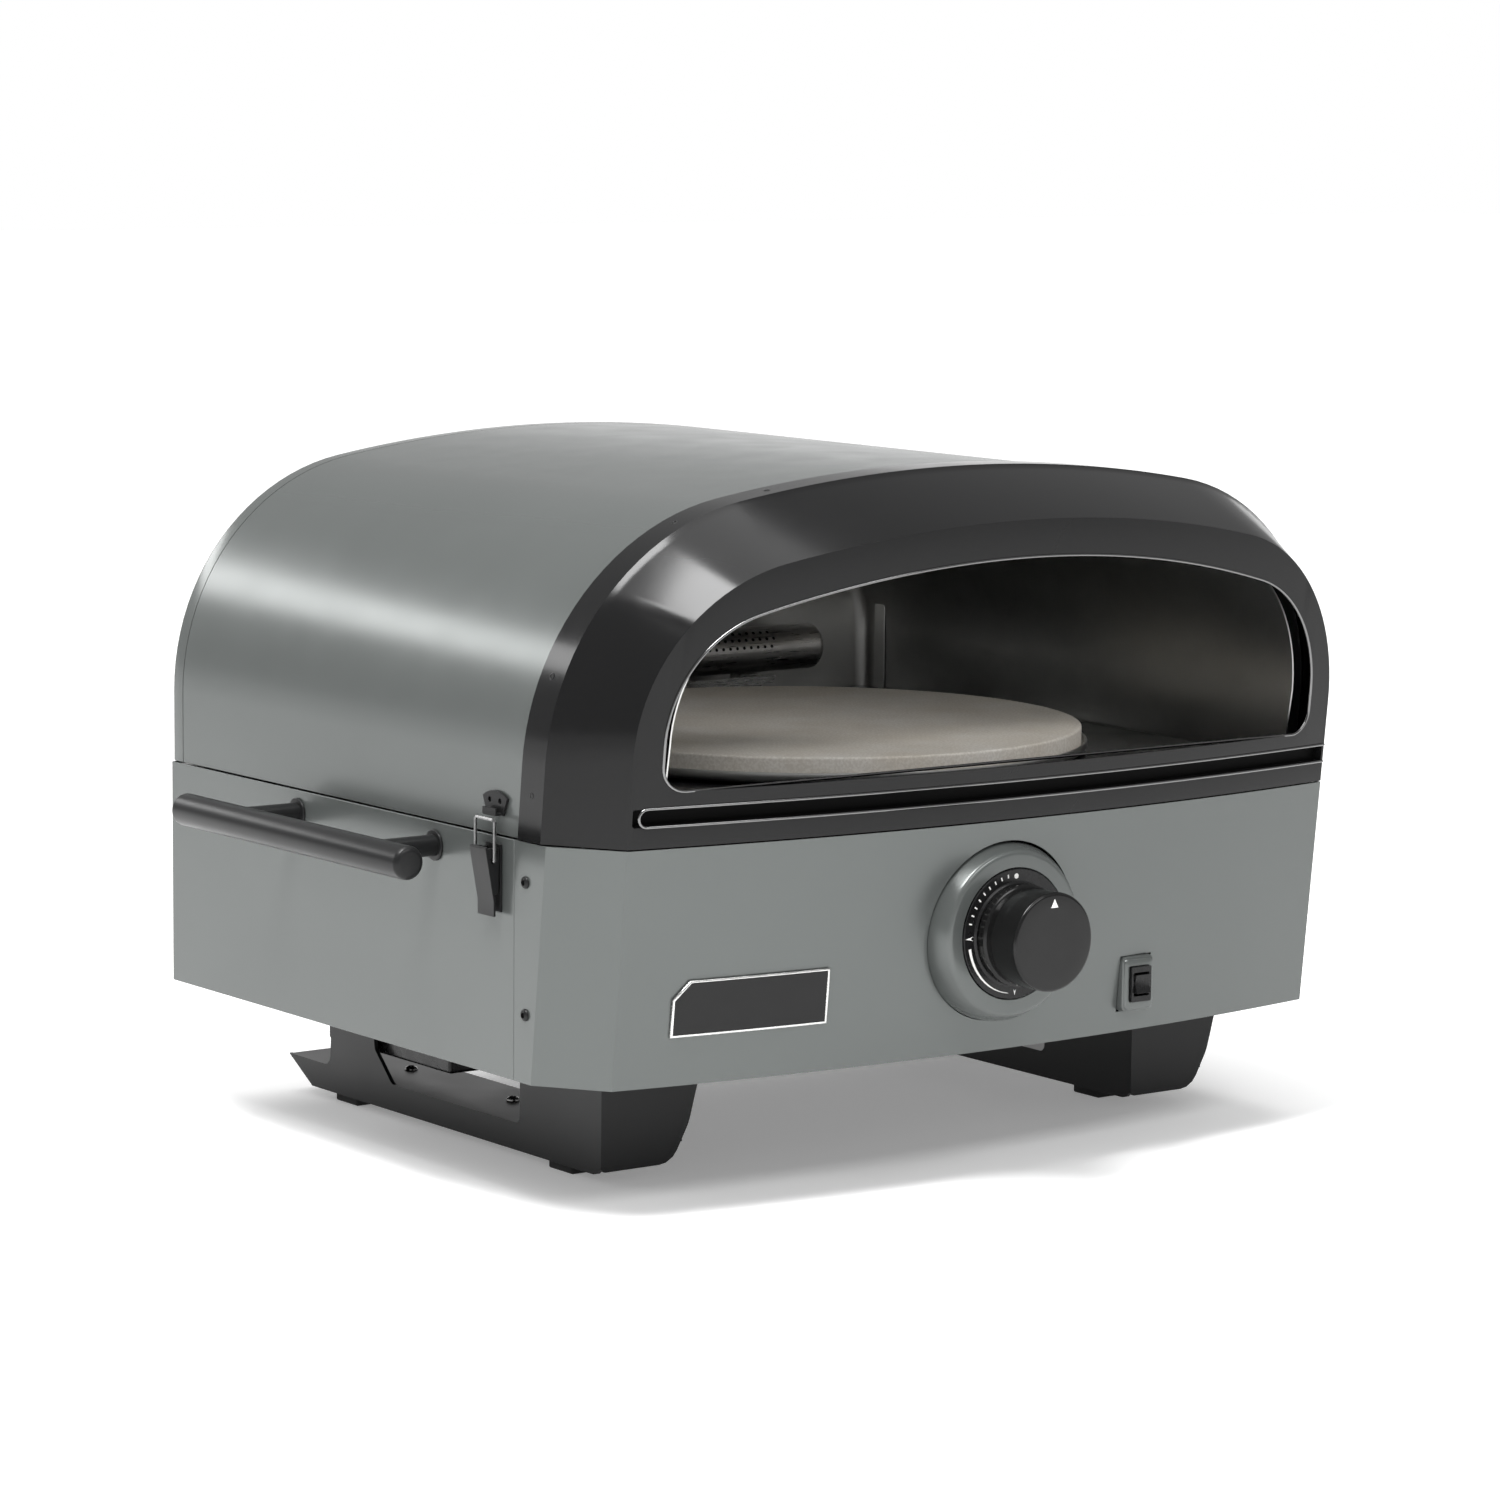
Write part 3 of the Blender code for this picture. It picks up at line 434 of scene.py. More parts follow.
def hood_shell():
    outline = hood_arch()
    front = [(x, lean_y(z, FLANGE_BACK - 14 * MM), z) for x, z in outline]
    back = [(x, STRIP_FRONT - 0.4 * MM, z) for x, z in outline]
    shape = bmesh.new()
    lofted(shape, [front, back])
    made = piece("hood_shell_skin", shape, GREY, "hood", ["hood_shell"], 0.35 * MM, 2)
    shade(settle(sheet_of(made, SHEET)), 35)


def hood_rear():
    """Rear panel with a rolled edge and a row of flue slots."""
    outline = hood_arch()
    roll = 3 * MM
    sections = [[(x, STRIP_FRONT, z) for x, z in outline]]
    for step in range(5):
        angle = math.radians(90 * step / 4)
        inward = roll * (1 - math.cos(angle))
        y = HOOD_BACK - roll + roll * math.sin(angle)
        scale = 1 - inward / HALF
        sections.append([(x * scale, y, HOOD_LOW + (z - HOOD_LOW) * scale) for x, z in outline])
    shape = bmesh.new()
    lofted(shape, sections, cap_last=True)
    made = piece("hood_rear_skin", shape, GREY, "hood", ["hood_rear_panel"], 0, sharp=35)
    sheet_of(made, SHEET)
    slots = bmesh.new()
    for number in range(5):
        x = (number - 2) * 0.05
        slot_outline = arc((x - 15 * MM, 0.334), 3 * MM, 90, 270, 6)
        slot_outline += arc((x + 15 * MM, 0.334), 3 * MM, -90, 90, 6)
        rings = [[(u, HOOD_BACK + d, v) for u, v in slot_outline] for d in (-0.02, 0.02)]
        lofted(slots, rings, closed=True, cap_first=True, cap_last=True)
    settle(made, boolean(made, slots, "flue_slots"))
    shade(made, 35)


def hood_fascia():
    """Pressed front: flange, rounded step, chamfer, bowed face, groove and window."""
    low = HOOD_LOW
    flange = arch(HALF + 0.5 * MM, HOOD_SPRING, 0.1405, 80, low)
    crease = arch(HALF - 2.5 * MM, HOOD_SPRING, 0.1375, 80, low)
    fold = arch(HALF - CORNER_X, 0.2560, 0.105, 78, low)
    lip = 1.2 * MM
    band = [GROOVE_LOW, GROOVE_LOW + lip, GROOVE_HIGH - lip, GROOVE_HIGH]

    def with_band(outline):
        left = [(outline[0][0], z) for z in band]
        right = [(outline[-1][0], z) for z in reversed(band)]
        return [outline[0]] + left + outline[1:-1] + right + [outline[-1]]

    depth = FLANGE_BACK - 22 * MM
    sections = [[(x, lean_y(z, FLANGE_BACK), z) for x, z in with_band(flange)],
                [(x, lean_y(z, depth), z) for x, z in with_band(flange)],
                [(x, lean_y(z, depth - 4.5 * MM), z) for x, z in with_band(crease)],
                [(x, front_y(x, z), z) for x, z in with_band(fold)]]
    shape = bmesh.new()
    rows = lofted(shape, sections)
    walls = len(band) + 1
    tops = rows[-1][walls:-walls]
    heights = [low] + band
    insets = [0, 0, GROOVE_DEPTH, GROOVE_DEPTH, 0]
    columns = [rows[-1][:walls] + [tops[0]]]
    for top in tops[1:-1]:
        x = top.co.x
        depth_here = 0.0 if abs(x) > -GROOVE_LEFT else 1.0
        column = [shape.verts.new((x, front_y(x, z, d * depth_here), z))
                  for z, d in zip(heights, insets)]
        columns.append(column + [top])
    columns.append(rows[-1][-1:-walls - 1:-1] + [tops[-1]])
    for column, following in zip(columns, columns[1:]):
        for i in range(walls):
            shape.faces.new((column[i], column[i + 1], following[i + 1], following[i]))
    made = piece("fascia_skin", shape, ENAMEL, "hood", ["hood_fascia"], 1.3 * MM, 4, 60, 20)
    sheet_of(made, 1.5 * MM)
    opening = window_outline()
    hole = bmesh.new()
    rings = [[(x, FRONT + d, z) for x, z in opening] for d in (-0.08, 0.06)]
    lofted(hole, rings, closed=True, cap_first=True, cap_last=True)
    settle(made, boolean(made, hole, "window_hole"))
    shade(made, 38)
    fascia_beads(opening)
    groove_painted_shade()


def window_outline():
    """The mouth's outline: an arch with rounded bottom corners."""
    turn = WINDOW_LOW + WINDOW_CORNER
    inner = WINDOW_HALF - WINDOW_CORNER
    opening = arch(WINDOW_HALF, 0.263, 0.0715, 75, turn)[1:-1]
    opening += arc((inner, turn), WINDOW_CORNER, 0, -90, 8)
    opening += arc((-inner, turn), WINDOW_CORNER, -90, -180, 8)
    return opening


def fascia_beads(opening):
    """Rolled lips round the mouth and round the groove's left end, in a brighter metal than the enamel
    that paints on their highlight.
    """
    beads = bmesh.new()
    bead(beads, opening, BEAD_RADIUS)
    left, length, steps = -0.238, 0.486, 60
    middle, radius = (GROOVE_LOW + GROOVE_HIGH) / 2, (GROOVE_HIGH - GROOVE_LOW) / 2
    run = [left + length * i / steps for i in range(1, steps + 1)]
    path = [(x, GROOVE_HIGH) for x in reversed(run)]
    path += arc((left, middle), radius, 90, 270, 10)
    path += [(x, GROOVE_LOW) for x in run]
    bead(beads, path, BEAD_RADIUS, closed=False)
    piece("fascia_beads", beads, EDGE_HIGHLIGHT, "hood", sharp=60)


def groove_painted_shade():
    """Dark strip of painted shade that lines the bottom of the groove."""
    left, length, steps = -0.2435, 0.4905, 60
    low, high = GROOVE_LOW + 0.3 * MM, GROOVE_HIGH - 0.3 * MM
    face, rear = 4.9 * MM, 5.6 * MM
    corners = ((low, face), (high, face), (high, rear), (low, rear))
    columns = [left + length * i / steps for i in range(steps + 1)]
    dark = bmesh.new()
    sections = [[(x, front_y(x, z, inset), z) for z, inset in corners] for x in columns]
    lofted(dark, sections, closed=True, cap_first=True, cap_last=True)
    piece("groove_painted_shade", dark, RECESS_SHADE, "hood", sharp=60)


def bead(shape, path, radius, closed=True):
    """A fine round lip that follows points (x, z) on the bowed face."""
    points = [Vector((x, front_y(x, z), z)) for x, z in path]
    count = len(points)
    rings = []
    for i, point in enumerate(points):
        before = points[i - 1] if closed or i else point
        after = points[(i + 1) % count] if closed or i < count - 1 else point
        along = (after - before).normalized()
        side = along.cross(Vector((0, 1, 0))).normalized()
        out = side.cross(along)
        rings.append([point + (side * math.cos(a) + out * math.sin(a)) * radius
                      for a in (math.tau * k / 12 for k in range(12))])
    rows = lofted(shape, rings, closed=True, cap_first=not closed, cap_last=not closed)
    if closed:
        for i in range(12):
            j = (i + 1) % 12
            shape.faces.new((rows[-1][i], rows[0][i], rows[0][j], rows[-1][j]))


def hood_liner():
    """Bright chamber: arched wall turning into the rear wall by a small radius."""
    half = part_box("hood_liner")[1][0] - 1.5 * MM
    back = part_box("hood_liner")[1][1] - 1.5 * MM
    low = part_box("hood_liner")[0][2]
    outline = arch(half, 0.262, 0.088, 77, low)
    roll = 9 * MM
    sections = [[(x, front_y(x, z, 8 * MM if z > 0.233 else 12 * MM), z) for x, z in outline]]
    sections.append([(x, 0.0, z) for x, z in outline])
    for step in range(7):
        angle = math.radians(90 * step / 6)
        scale = 1 - roll * (1 - math.cos(angle)) / half
        y = back - roll + roll * math.sin(angle)
        sections.append([(x * scale, y, low + (z - low) * scale) for x, z in outline])
    shape = bmesh.new()
    lofted(shape, sections, cap_last=True)
    made = piece("chamber_skin", shape, LINER, "hood", ["hood_liner"], 0, sharp=35)
    shade(settle(sheet_of(made, 1.0 * MM, 1.0)), 35)
    seams = bmesh.new()
    for x in (half - 0.6 * MM, -half + 0.6 * MM):
        side = 1 if x > 0 else -1
        ends = sorted((x, x - side * 0.9 * MM))
        block(seams, (ends[0], back - 22 * MM, low), (ends[1], back - 12 * MM, 0.30))
    piece("chamber_seam_folds", seams, LINER, "hood", bevel=0.3 * MM, segments=2)


def front_panel():
    """Bowed lower front with rounded folds and a rolled top edge, pierced for the controls."""
    fold = HALF - CORNER_X
    steps = 48
    sections = []
    for z in (BODY_LOW, BODY_LOW + 1.5 * MM, BODY_HIGH - 1.0 * MM, BODY_HIGH):
        corner = FRONT - (z - BODY_HIGH) * LEAN + CORNER_Y
        row = [(-HALF, SEAM), (-HALF, corner)]
        row += [(x, front_y(x, z)) for x in (fold * (2 * i / steps - 1) for i in range(steps + 1))]
        row += [(HALF, corner), (HALF, SEAM)]
        sections.append([(x, y, z) for x, y in row])
    shape = bmesh.new()
    lofted(shape, sections)
    made = piece("front_panel_skin", shape, GREY, "oven_body", ["front_panel"], 1.2 * MM, 4, 60, 12)
    sheet_of(made, 1.5 * MM)
    centre_x, centre_z = (DIAL[0][0] + DIAL[1][0]) / 2, (DIAL[0][2] + DIAL[1][2]) / 2
    holes = spun(bmesh.new(), [(0, -0.04), (0.0516, -0.04), (0.0516, 0.06), (0, 0.06)],
                 (centre_x, FRONT, centre_z), (0, -1, 0), 96)
    low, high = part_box("switch_pedestal")
    gap = 0.3 * MM
    block(holes, (low[0] - gap, -0.26, low[2] - gap), (high[0] + gap, -0.15, high[2] + gap))
    settle(made, boolean(made, holes, "panel_holes"))
    shade(made, 38)


def base_shell():
    """Side and rear walls with rounded vertical corners and rounded top edges."""
    bend = 4 * MM
    steps = 6
    left = [(-HALF, SEAM + 0.4 * MM)]
    left += arc((-HALF + bend, BACK - bend), bend, 180, 90, steps)
    path = left + [(-x, y) for x, y in reversed(left)]
    shape = bmesh.new()
    lofted(shape, [[(x, y, z) for x, y in path] for z in (BODY_LOW, BODY_HIGH)])
    made = piece("base_skin", shape, GREY, "oven_body", ["base_shell"], 0.45 * MM, 3, 45)
    sheet_of(made, 1.5 * MM)
    cuts = spun(bmesh.new(), [(0, -0.02), (0.0125, -0.02), (0.0125, 0.02), (0, 0.02)],
                (0.12, BACK, 0.115), (0, 1, 0), 48)
    for z in (0.170, 0.155):
        for x in (-0.06, 0.06):
            outline = arc((x - 37 * MM, z), 3 * MM, 90, 270, 6) + arc((x + 37 * MM, z), 3 * MM, -90, 90, 6)
            rings = [[(u, BACK + d, v) for u, v in outline] for d in (-0.02, 0.02)]
            lofted(cuts, rings, closed=True, cap_first=True, cap_last=True)
    settle(made, boolean(made, cuts, "rear_cuts"))
    shade(made, 38)


# ---------------------------------------------------------------- controls


def dial():
    """Bezel, printed dial, glossy collar and the knob."""
    x, z = (DIAL[0][0] + DIAL[1][0]) / 2, (DIAL[0][2] + DIAL[1][2]) / 2
    base = (x, PANEL_AT_DIAL, z)
    ahead = (0, -1, 0)
    shoulder = arc((44.0 * MM, 9.0 * MM), 3.5 * MM, 90, 22, 6)
    ring = [(37.0 * MM, 4.0 * MM), (37.0 * MM, 12.1 * MM), (37.4 * MM, 12.5 * MM)] + shoulder
    ring += [(50.0 * MM, 5.0 * MM), (51.2 * MM, 0.0), (51.2 * MM, -17 * MM), (50.0 * MM, -17 * MM)]
    piece("bezel_skin", spun(bmesh.new(), ring, base, ahead, 128), GREY, "oven_body",
          ["dial_bezel"], sharp=40)
    plate = [(0, 8.8 * MM), (36.5 * MM, 8.8 * MM), (36.6 * MM, 12.8 * MM), (36.2 * MM, 13.2 * MM),
             (29.8 * MM, 13.2 * MM), (29.0 * MM, 14.1 * MM), (28.2 * MM, 14.3 * MM),
             (27.5 * MM, 14.0 * MM), (27.0 * MM, 13.2 * MM), (6.6 * MM, 13.2 * MM), (6.6 * MM, 8.8 * MM)]
    piece("dial_face_skin", spun(bmesh.new(), plate[1:], base, ahead, 128), PLASTIC, "oven_body",
          ["dial_plate"], sharp=35)
    dial_print(x, PANEL_AT_DIAL - DIAL_FACE, z)
    knob(x, PANEL_AT_DIAL - BEZEL_PROUD, z)


def dial_print(x, y, z):
    """White dot, dashes and tapering arc round the knob, with plain wedge marks at the ends."""
    flat_paint = bmesh.new()

    def at(radius, angle):
        turn = math.radians(angle)
        return (x + radius * math.sin(turn), z + radius * math.cos(turn))

    def patch(points):
        rings = [[(u, y - d, v) for u, v in points] for d in (-0.02 * MM, 0.06 * MM)]
        lofted(flat_paint, rings, closed=True, cap_first=True, cap_last=True)

    dot = at(32.6 * MM, 0)
    patch(arc(dot, 1.5 * MM, 0, 345, 23))
    for number in range(9):
        angle = -10 - number * 8.2
        patch([at(32.2 * MM, angle - 0.7), at(34.2 * MM, angle - 0.7), at(34.2 * MM, angle + 0.7),
               at(32.2 * MM, angle + 0.7)])
    start, end, count = -100, -172, 24
    sweep = [start + (end - start) * i / count for i in range(count + 1)]
    outer = [at((33.8 - 0.3 * i / count) * MM, a) for i, a in enumerate(sweep)]
    inner = [at((32.0 + 1.2 * i / count) * MM, a) for i, a in enumerate(sweep)]
    patch(outer + inner[::-1])
    for angle, size in ((-90, 2.6), (-180, 1.7)):
        across = size / 33 * 57.3 * 0.5
        patch([at((33 - size) * MM, angle - across), at((33 + size) * MM, angle),
               at((33 - size) * MM, angle + across), at((33 - 0.4 * size) * MM, angle)])
    piece("dial_print", flat_paint, INK, "oven_body")


def knob(x, y, z):
    """Knob with a collar, a groove, a soft front edge and a pointer."""
    edge = arc((25.9 * MM, 32.4 * MM), 1.9 * MM, 90, 0, 6)
    profile = [(0, KNOB_FACE), (18 * MM, KNOB_FACE)] + edge
    profile += [(27.8 * MM, 13.9 * MM), (27.3 * MM, 13.2 * MM), (27.2 * MM, 8.8 * MM),
                (28.4 * MM, 8.3 * MM), (28.8 * MM, 7.8 * MM), (28.8 * MM, 3.4 * MM),
                (28.4 * MM, 3.0 * MM), (0, 3.0 * MM)]
    piece("knob_skin", spun(bmesh.new(), profile, (x, y, z), (0, -1, 0), 128), GLOSS, "knob",
          ["control_knob"], sharp=35)
    flat_paint = bmesh.new()
    tip = [(0, 24.2), (-2.5, 19.4), (2.5, 19.4)]
    face = y - KNOB_FACE
    rings = [[(x + u * MM, face - d, z + v * MM) for u, v in tip] for d in (-0.1 * MM, 0.12 * MM)]
    lofted(flat_paint, rings, closed=True, cap_first=True, cap_last=True)
    piece("knob_pointer", flat_paint, INK, "knob")


def switch():
    pedestal()
    rocker_ribs()


def pedestal():
    """Rounded pedestal with a clear hole for the switch frame."""
    low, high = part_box("switch_pedestal")
    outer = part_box("switch_frame")
    y, depth, gap = low[1], 16.0, 0.25 * MM
    shape = bmesh.new()
    rings = []
    for inset, d in ((0.0, depth), (0.0, 2.6), (0.35, 1.6), (1.1, 1.2), (1.45, 0.3), (1.9, 0.0)):
        u0, u1 = low[0] + inset * MM, high[0] - inset * MM
        v0, v1 = low[2] + inset * MM, high[2] - inset * MM
        r = 3.4 * MM - inset * MM * 0.5
        ring = []
        for cx, cz, a in ((u1, v1, 0), (u0, v1, 90), (u0, v0, 180), (u1, v0, 270)):
            sx, sz = (1 if cx == u1 else -1), (1 if cz == v1 else -1)
            ring += arc((cx - sx * r, cz - sz * r), r, a, a + 90, 6)
        rings.append([(u, y + d * MM, v) for u, v in ring])
    inner = []
    r = 1.0 * MM
    for cx, cz, a in ((1, 1, 0), (-1, 1, 90), (-1, -1, 180), (1, -1, 270)):
        corner = (outer[1][0] if cx > 0 else outer[0][0], outer[1][2] if cz > 0 else outer[0][2])
        centre = (corner[0] - cx * (r - gap), corner[1] - cz * (r - gap))
        inner += arc(centre, r, a, a + 90, 6)
    for d in (0.0, depth):
        rings.append([(u, y + d * MM, v) for u, v in inner])
    lofted(shape, rings + [rings[0]], closed=True)
    bmesh.ops.remove_doubles(shape, verts=shape.verts, dist=0.00001)
    piece("pedestal_skin", shape, GREY, "oven_body", ["switch_pedestal"], sharp=40)


def rocker_ribs():
    """Five fine ribs on each half of the concave rocker, whose lower end stands out."""
    low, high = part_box("rocker")
    count, thick, half_wide = 5, 0.5 * MM, 0.25
    middle = (low[2] + high[2]) / 2
    ribs = bmesh.new()
    for number in range(count):
        x = low[0] + (high[0] - low[0]) * (number + 1) / (count + 1)
        for side in (-1, 1):
            inner_end = (low[1] + 1.6 * MM, middle + side * 0.9 * MM)
            if side < 0:
                outer_end = (low[1] + 0.15 * MM, low[2] + 1.0 * MM)
            else:
                outer_end = (low[1] + 1.25 * MM, high[2] - 1.0 * MM)
            points = [inner_end, outer_end, (outer_end[0] + thick, outer_end[1]),
                      (inner_end[0] + thick, inner_end[1])]
            rings = [[(x + d * MM, u, v) for u, v in points] for d in (-half_wide, half_wide)]
            lofted(ribs, rings, closed=True, cap_first=True, cap_last=True)
    piece("rocker_ribs", ribs, PLASTIC, "switch_rocker", bevel=0.08 * MM, segments=2)


def badge():
    """Silver rim with a plain black field."""
    low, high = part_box("badge_plate")
    x0, x1, z0, z1 = low[0], high[0], low[2], high[2]
    clip = 10 * MM

    def outline(inset):
        x_low, x_high, z_low, z_high = x0 + inset, x1 - inset, z0 + inset, z1 - inset
        cut_here = clip - inset * 0.4
        points = [(x_low, z_low)]
        points += [(x_low + (x_high - x_low) * i / 12, z_low) for i in range(1, 13)]
        points += [(x_high, z_high)]
        points += [(x_high + (x_low + cut_here - x_high) * i / 12, z_high) for i in range(1, 13)]
        return points + [(x_low, z_high - cut_here)]

    def ring(inset, proud):
        return [(x, front_y(x, z, -proud * MM), z) for x, z in outline(inset)]

    rim = bmesh.new()
    lofted(rim, [ring(0, 0.45), ring(0, 1.5), ring(0.3 * MM, 1.8), ring(1.2 * MM, 1.8),
                 ring(1.4 * MM, 1.4), ring(1.4 * MM, 0.45), ring(0, 0.45)], closed=True)
    bmesh.ops.remove_doubles(rim, verts=rim.verts, dist=0.000005)
    piece("badge_rim", rim, STEEL, "oven_body", ["badge_plate"], sharp=50)
    field = bmesh.new()
    lofted(field, [ring(1.5 * MM, 0.5), ring(1.5 * MM, 1.45)], closed=True, cap_first=True,
           cap_last=True)
    piece("badge_field", field, BADGE_BLACK, "oven_body", sharp=50)


# ---------------------------------------------------------------- chamber


def stone():
    low, high = STONE
    centre = ((low[0] + high[0]) / 2, (low[1] + high[1]) / 2, 0)
    radius = (high[0] - low[0]) / 2
    edge = arc((radius - 1.6 * MM, high[2] - 1.6 * MM), 1.6 * MM, 90, 0, 4)
    under = arc((radius - 1.6 * MM, low[2] + 1.6 * MM), 1.6 * MM, 0, -90, 4)
    profile = [(0, high[2]), (radius * 0.5, high[2])] + edge + under + [(0, low[2])]
    piece("stone_skin", spun(bmesh.new(), profile, centre, (0, 0, 1), 192), CORDIERITE, "turntable",
          ["pizza_stone"], sharp=50)
    tray_low, tray_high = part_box("turntable_tray")
    lip = (tray_high[0] - tray_low[0]) / 2
    bottom, top = tray_low[2], tray_high[2]
    wall = [(9.5 * MM, bottom + 1.8 * MM), (lip - 4 * MM, bottom + 1.8 * MM)]
    wall += [(lip - 2.0 * MM, bottom + 3.2 * MM), (lip - 1.6 * MM, top - 0.3 * MM),
             (lip - 1.0 * MM, top), (lip - 0.2 * MM, top - 0.2 * MM), (lip, top - 0.8 * MM)]
    wall += arc((lip - 3 * MM, bottom + 3 * MM), 3 * MM, 0, -90, 6) + [(9.5 * MM, bottom)]
    wall += [wall[0]]
    shape = spun(bmesh.new(), wall, centre, (0, 0, 1), 192)
    bmesh.ops.remove_doubles(shape, verts=shape.verts, dist=0.000005)
    piece("tray_skin", shape, LINER, "turntable", ["turntable_tray"], sharp=40)


def burner():
    """Tube with a closed rounded end and three rows of ports, on a folded channel."""
    low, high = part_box("burner_tube")
    y, z = (low[1] + high[1]) / 2, (low[2] + high[2]) / 2
    radius = (high[1] - low[1]) / 2
    length = high[0] - low[0]
    end = arc((radius - 6 * MM, length - 6 * MM), 6 * MM, 0, 90, 6)
    profile = [(0, 0), (radius, 0)] + end + [(0, length)]
    piece("burner_skin", spun(bmesh.new(), profile, (low[0], y, z), (1, 0, 0), 64), BURNER,
          "oven_body", ["burner_tube"], sharp=50)
    # The ports are dark discs of painted shade on the tube, standing in for the shaded inside of each
    # hole.
    ports = bmesh.new()
    for row, angle in enumerate((12, 32, 52)):
        tilt = math.radians(angle)
        ahead = Vector((0, -math.cos(tilt), math.sin(tilt)))
        count = 58
        for number in range(count):
            x = -0.19 + 0.31 * (number + 0.5 * (row % 2)) / count
            centre = Vector((x, y, z)) + ahead * (radius - 0.25 * MM)
            spun(ports, [(0, 0.28 * MM), (1.1 * MM, 0.28 * MM), (1.1 * MM, 0)], centre, ahead, 10)
    piece("burner_ports", ports, RECESS_SHADE, "oven_body", sharp=50)


def oven_floor():
    """Enamelled floor whose edge is folded down."""
    low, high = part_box("oven_floor")
    half = high[0]
    steps = 40
    back = high[1]

    def ring(inset, z):
        xs = [(half - inset) * (1 - 2 * i / steps) for i in range(steps + 1)]
        rim = [(-xs[0], back - inset), (xs[0], back - inset)]
        rim += [(x, front_y(x, 0.22, 10 * MM + inset)) for x in xs]
        return [(x, y, z) for x, y in rim]

    shape = bmesh.new()
    top = high[2]
    lofted(shape, [ring(0, low[2]), ring(0, top - 2 * MM), ring(0.6 * MM, top - 0.6 * MM),
                   ring(2 * MM, top)], closed=True, cap_last=True)
    made = piece("floor_skin", shape, FLOOR_ENAMEL, "oven_body", ["oven_floor"], sharp=30)
    sheet_of(made, 1.0 * MM)
    hole = spun(bmesh.new(), [(0, -0.02), (10 * MM, -0.02), (10 * MM, 0.02), (0, 0.02)],
                (0, (STONE[0][1] + STONE[1][1]) / 2, top), (0, 0, 1), 48)
    shade(settle(made, boolean(made, hole, "spindle_hole")), 35)


# ---------------------------------------------------------------- handles, latches, screws


def handles():
    for word in ("left", "right"):
        low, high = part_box(f"handle_{word}")
        x, z = (low[0] + high[0]) / 2, (low[2] + high[2]) / 2
        radius = (high[0] - low[0]) / 2
        edge = arc((radius - 3.4 * MM, -3.4 * MM), 3.4 * MM, 90, 0, 6)
        tail = [(r, -(high[1] - low[1]) - h) for r, h in reversed(edge)]
        profile = [(0, 0)] + edge + tail + [(0, -(high[1] - low[1]))]
        shape = spun(bmesh.new(), profile, (x, high[1], z), (0, 1, 0), 64)
        piece(f"handle_{word}_skin", shape, DARK, "oven_body", [f"handle_{word}"], sharp=50)
        posts = bmesh.new()
        side = -1 if x < 0 else 1
        names = [f"handle_post_{word}_{place}" for place in ("front", "rear")]
        for name in names:
            low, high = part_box(name)
            length = high[0] - low[0]
            y = (low[1] + high[1]) / 2
            wall = side * min(abs(low[0]), abs(high[0]))
            profile = [(0, 0), (6 * MM, 0), (6 * MM, length), (0, length)]
            spun(posts, profile, (wall, y, z), (side, 0, 0), 48)
            cup = arc((8.0 * MM, 0.6 * MM), 0.6 * MM, 0, 90, 4)
            spun(posts, [(6.05 * MM, 0), (8.6 * MM, 0)] + cup + [(6.05 * MM, 1.2 * MM), (6.05 * MM, 0)],
                 (wall, y, z), (side, 0, 0), 48)
        bmesh.ops.remove_doubles(posts, verts=posts.verts, dist=0.000005)
        piece(f"handle_posts_{word}", posts, DARK, "oven_body", names, sharp=40)


def button_head(shape, place, ahead, radius=3.4 * MM, height=1.6 * MM):
    """A low domed screw head with a round socket recess."""
    dome = [(radius * math.cos(math.radians(a)) ** 0.6, height * math.sin(math.radians(a)))
            for a in (0, 18, 36, 54)]
    profile = [(radius, 0)] + dome[1:] + [(radius * 0.52, height), (radius * 0.46, height * 0.9),
                                          (radius * 0.46, height * 0.25), (0, height * 0.25)]
    spun(shape, [(0, 0)] + profile, place, ahead, 24)


def screws():
    """Socket-headed screws on the panel flanges and on the fascia's flange."""
    for word, side in (("left", -1), ("right", 1)):
        heads = bmesh.new()
        names = [f"panel_screw_{word}_{place}" for place in ("high", "low")]
        for name in names:
            low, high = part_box(name)
            inner = side * min(abs(low[0]), abs(high[0]))
            button_head(heads, (inner, (low[1] + high[1]) / 2, (low[2] + high[2]) / 2), (side, 0, 0))
        piece(f"panel_screws_{word}", heads, DARK, "oven_body", names, sharp=40)
    flange = arch(HALF + 0.5 * MM, HOOD_SPRING, 0.1405, 80, HOOD_LOW, 60, 60)
    heads = bmesh.new()
    for height in (0.233, 0.297, 0.377, 0.392):
        for side in (-1, 1):
            half = flange[:len(flange) // 2]
            index = min(range(1, len(half) - 1), key=lambda i: abs(half[i][1] - height))
            x, z = half[index]
            along = Vector((half[index + 1][0] - half[index - 1][0], 0,
                            half[index + 1][1] - half[index - 1][1])).normalized()
            if height < half[1][1]:
                x, z, along = half[0][0], height, Vector((0, 0, 1))
            outward = Vector((-along.z, 0, along.x))
            outward = Vector((-side * outward.x, 0, outward.z))
            place = Vector((-side * x, lean_y(z, FLANGE_BACK - 11 * MM), z)) - outward * 0.9 * MM
            button_head(heads, place, outward, 2.9 * MM, 1.1 * MM)
    piece("fascia_screws", heads, DARK, "hood", sharp=40)


def leg_details():
    """Screw heads on the shelf of each leg."""
    for word in ("left", "right"):
        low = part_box(f"leg_{word}")[0]
        heads = bmesh.new()
        for along in (0.052, 0.140, 0.250):
            button_head(heads, (low[0] + 34 * MM, low[1] + along, 0.0221), (0, 0, 1), 4.0 * MM, 2.0 * MM)
        piece(f"leg_screws_{word}", heads, STEEL, "oven_body", sharp=40)


# ---------------------------------------------------------------- carried-over nodes


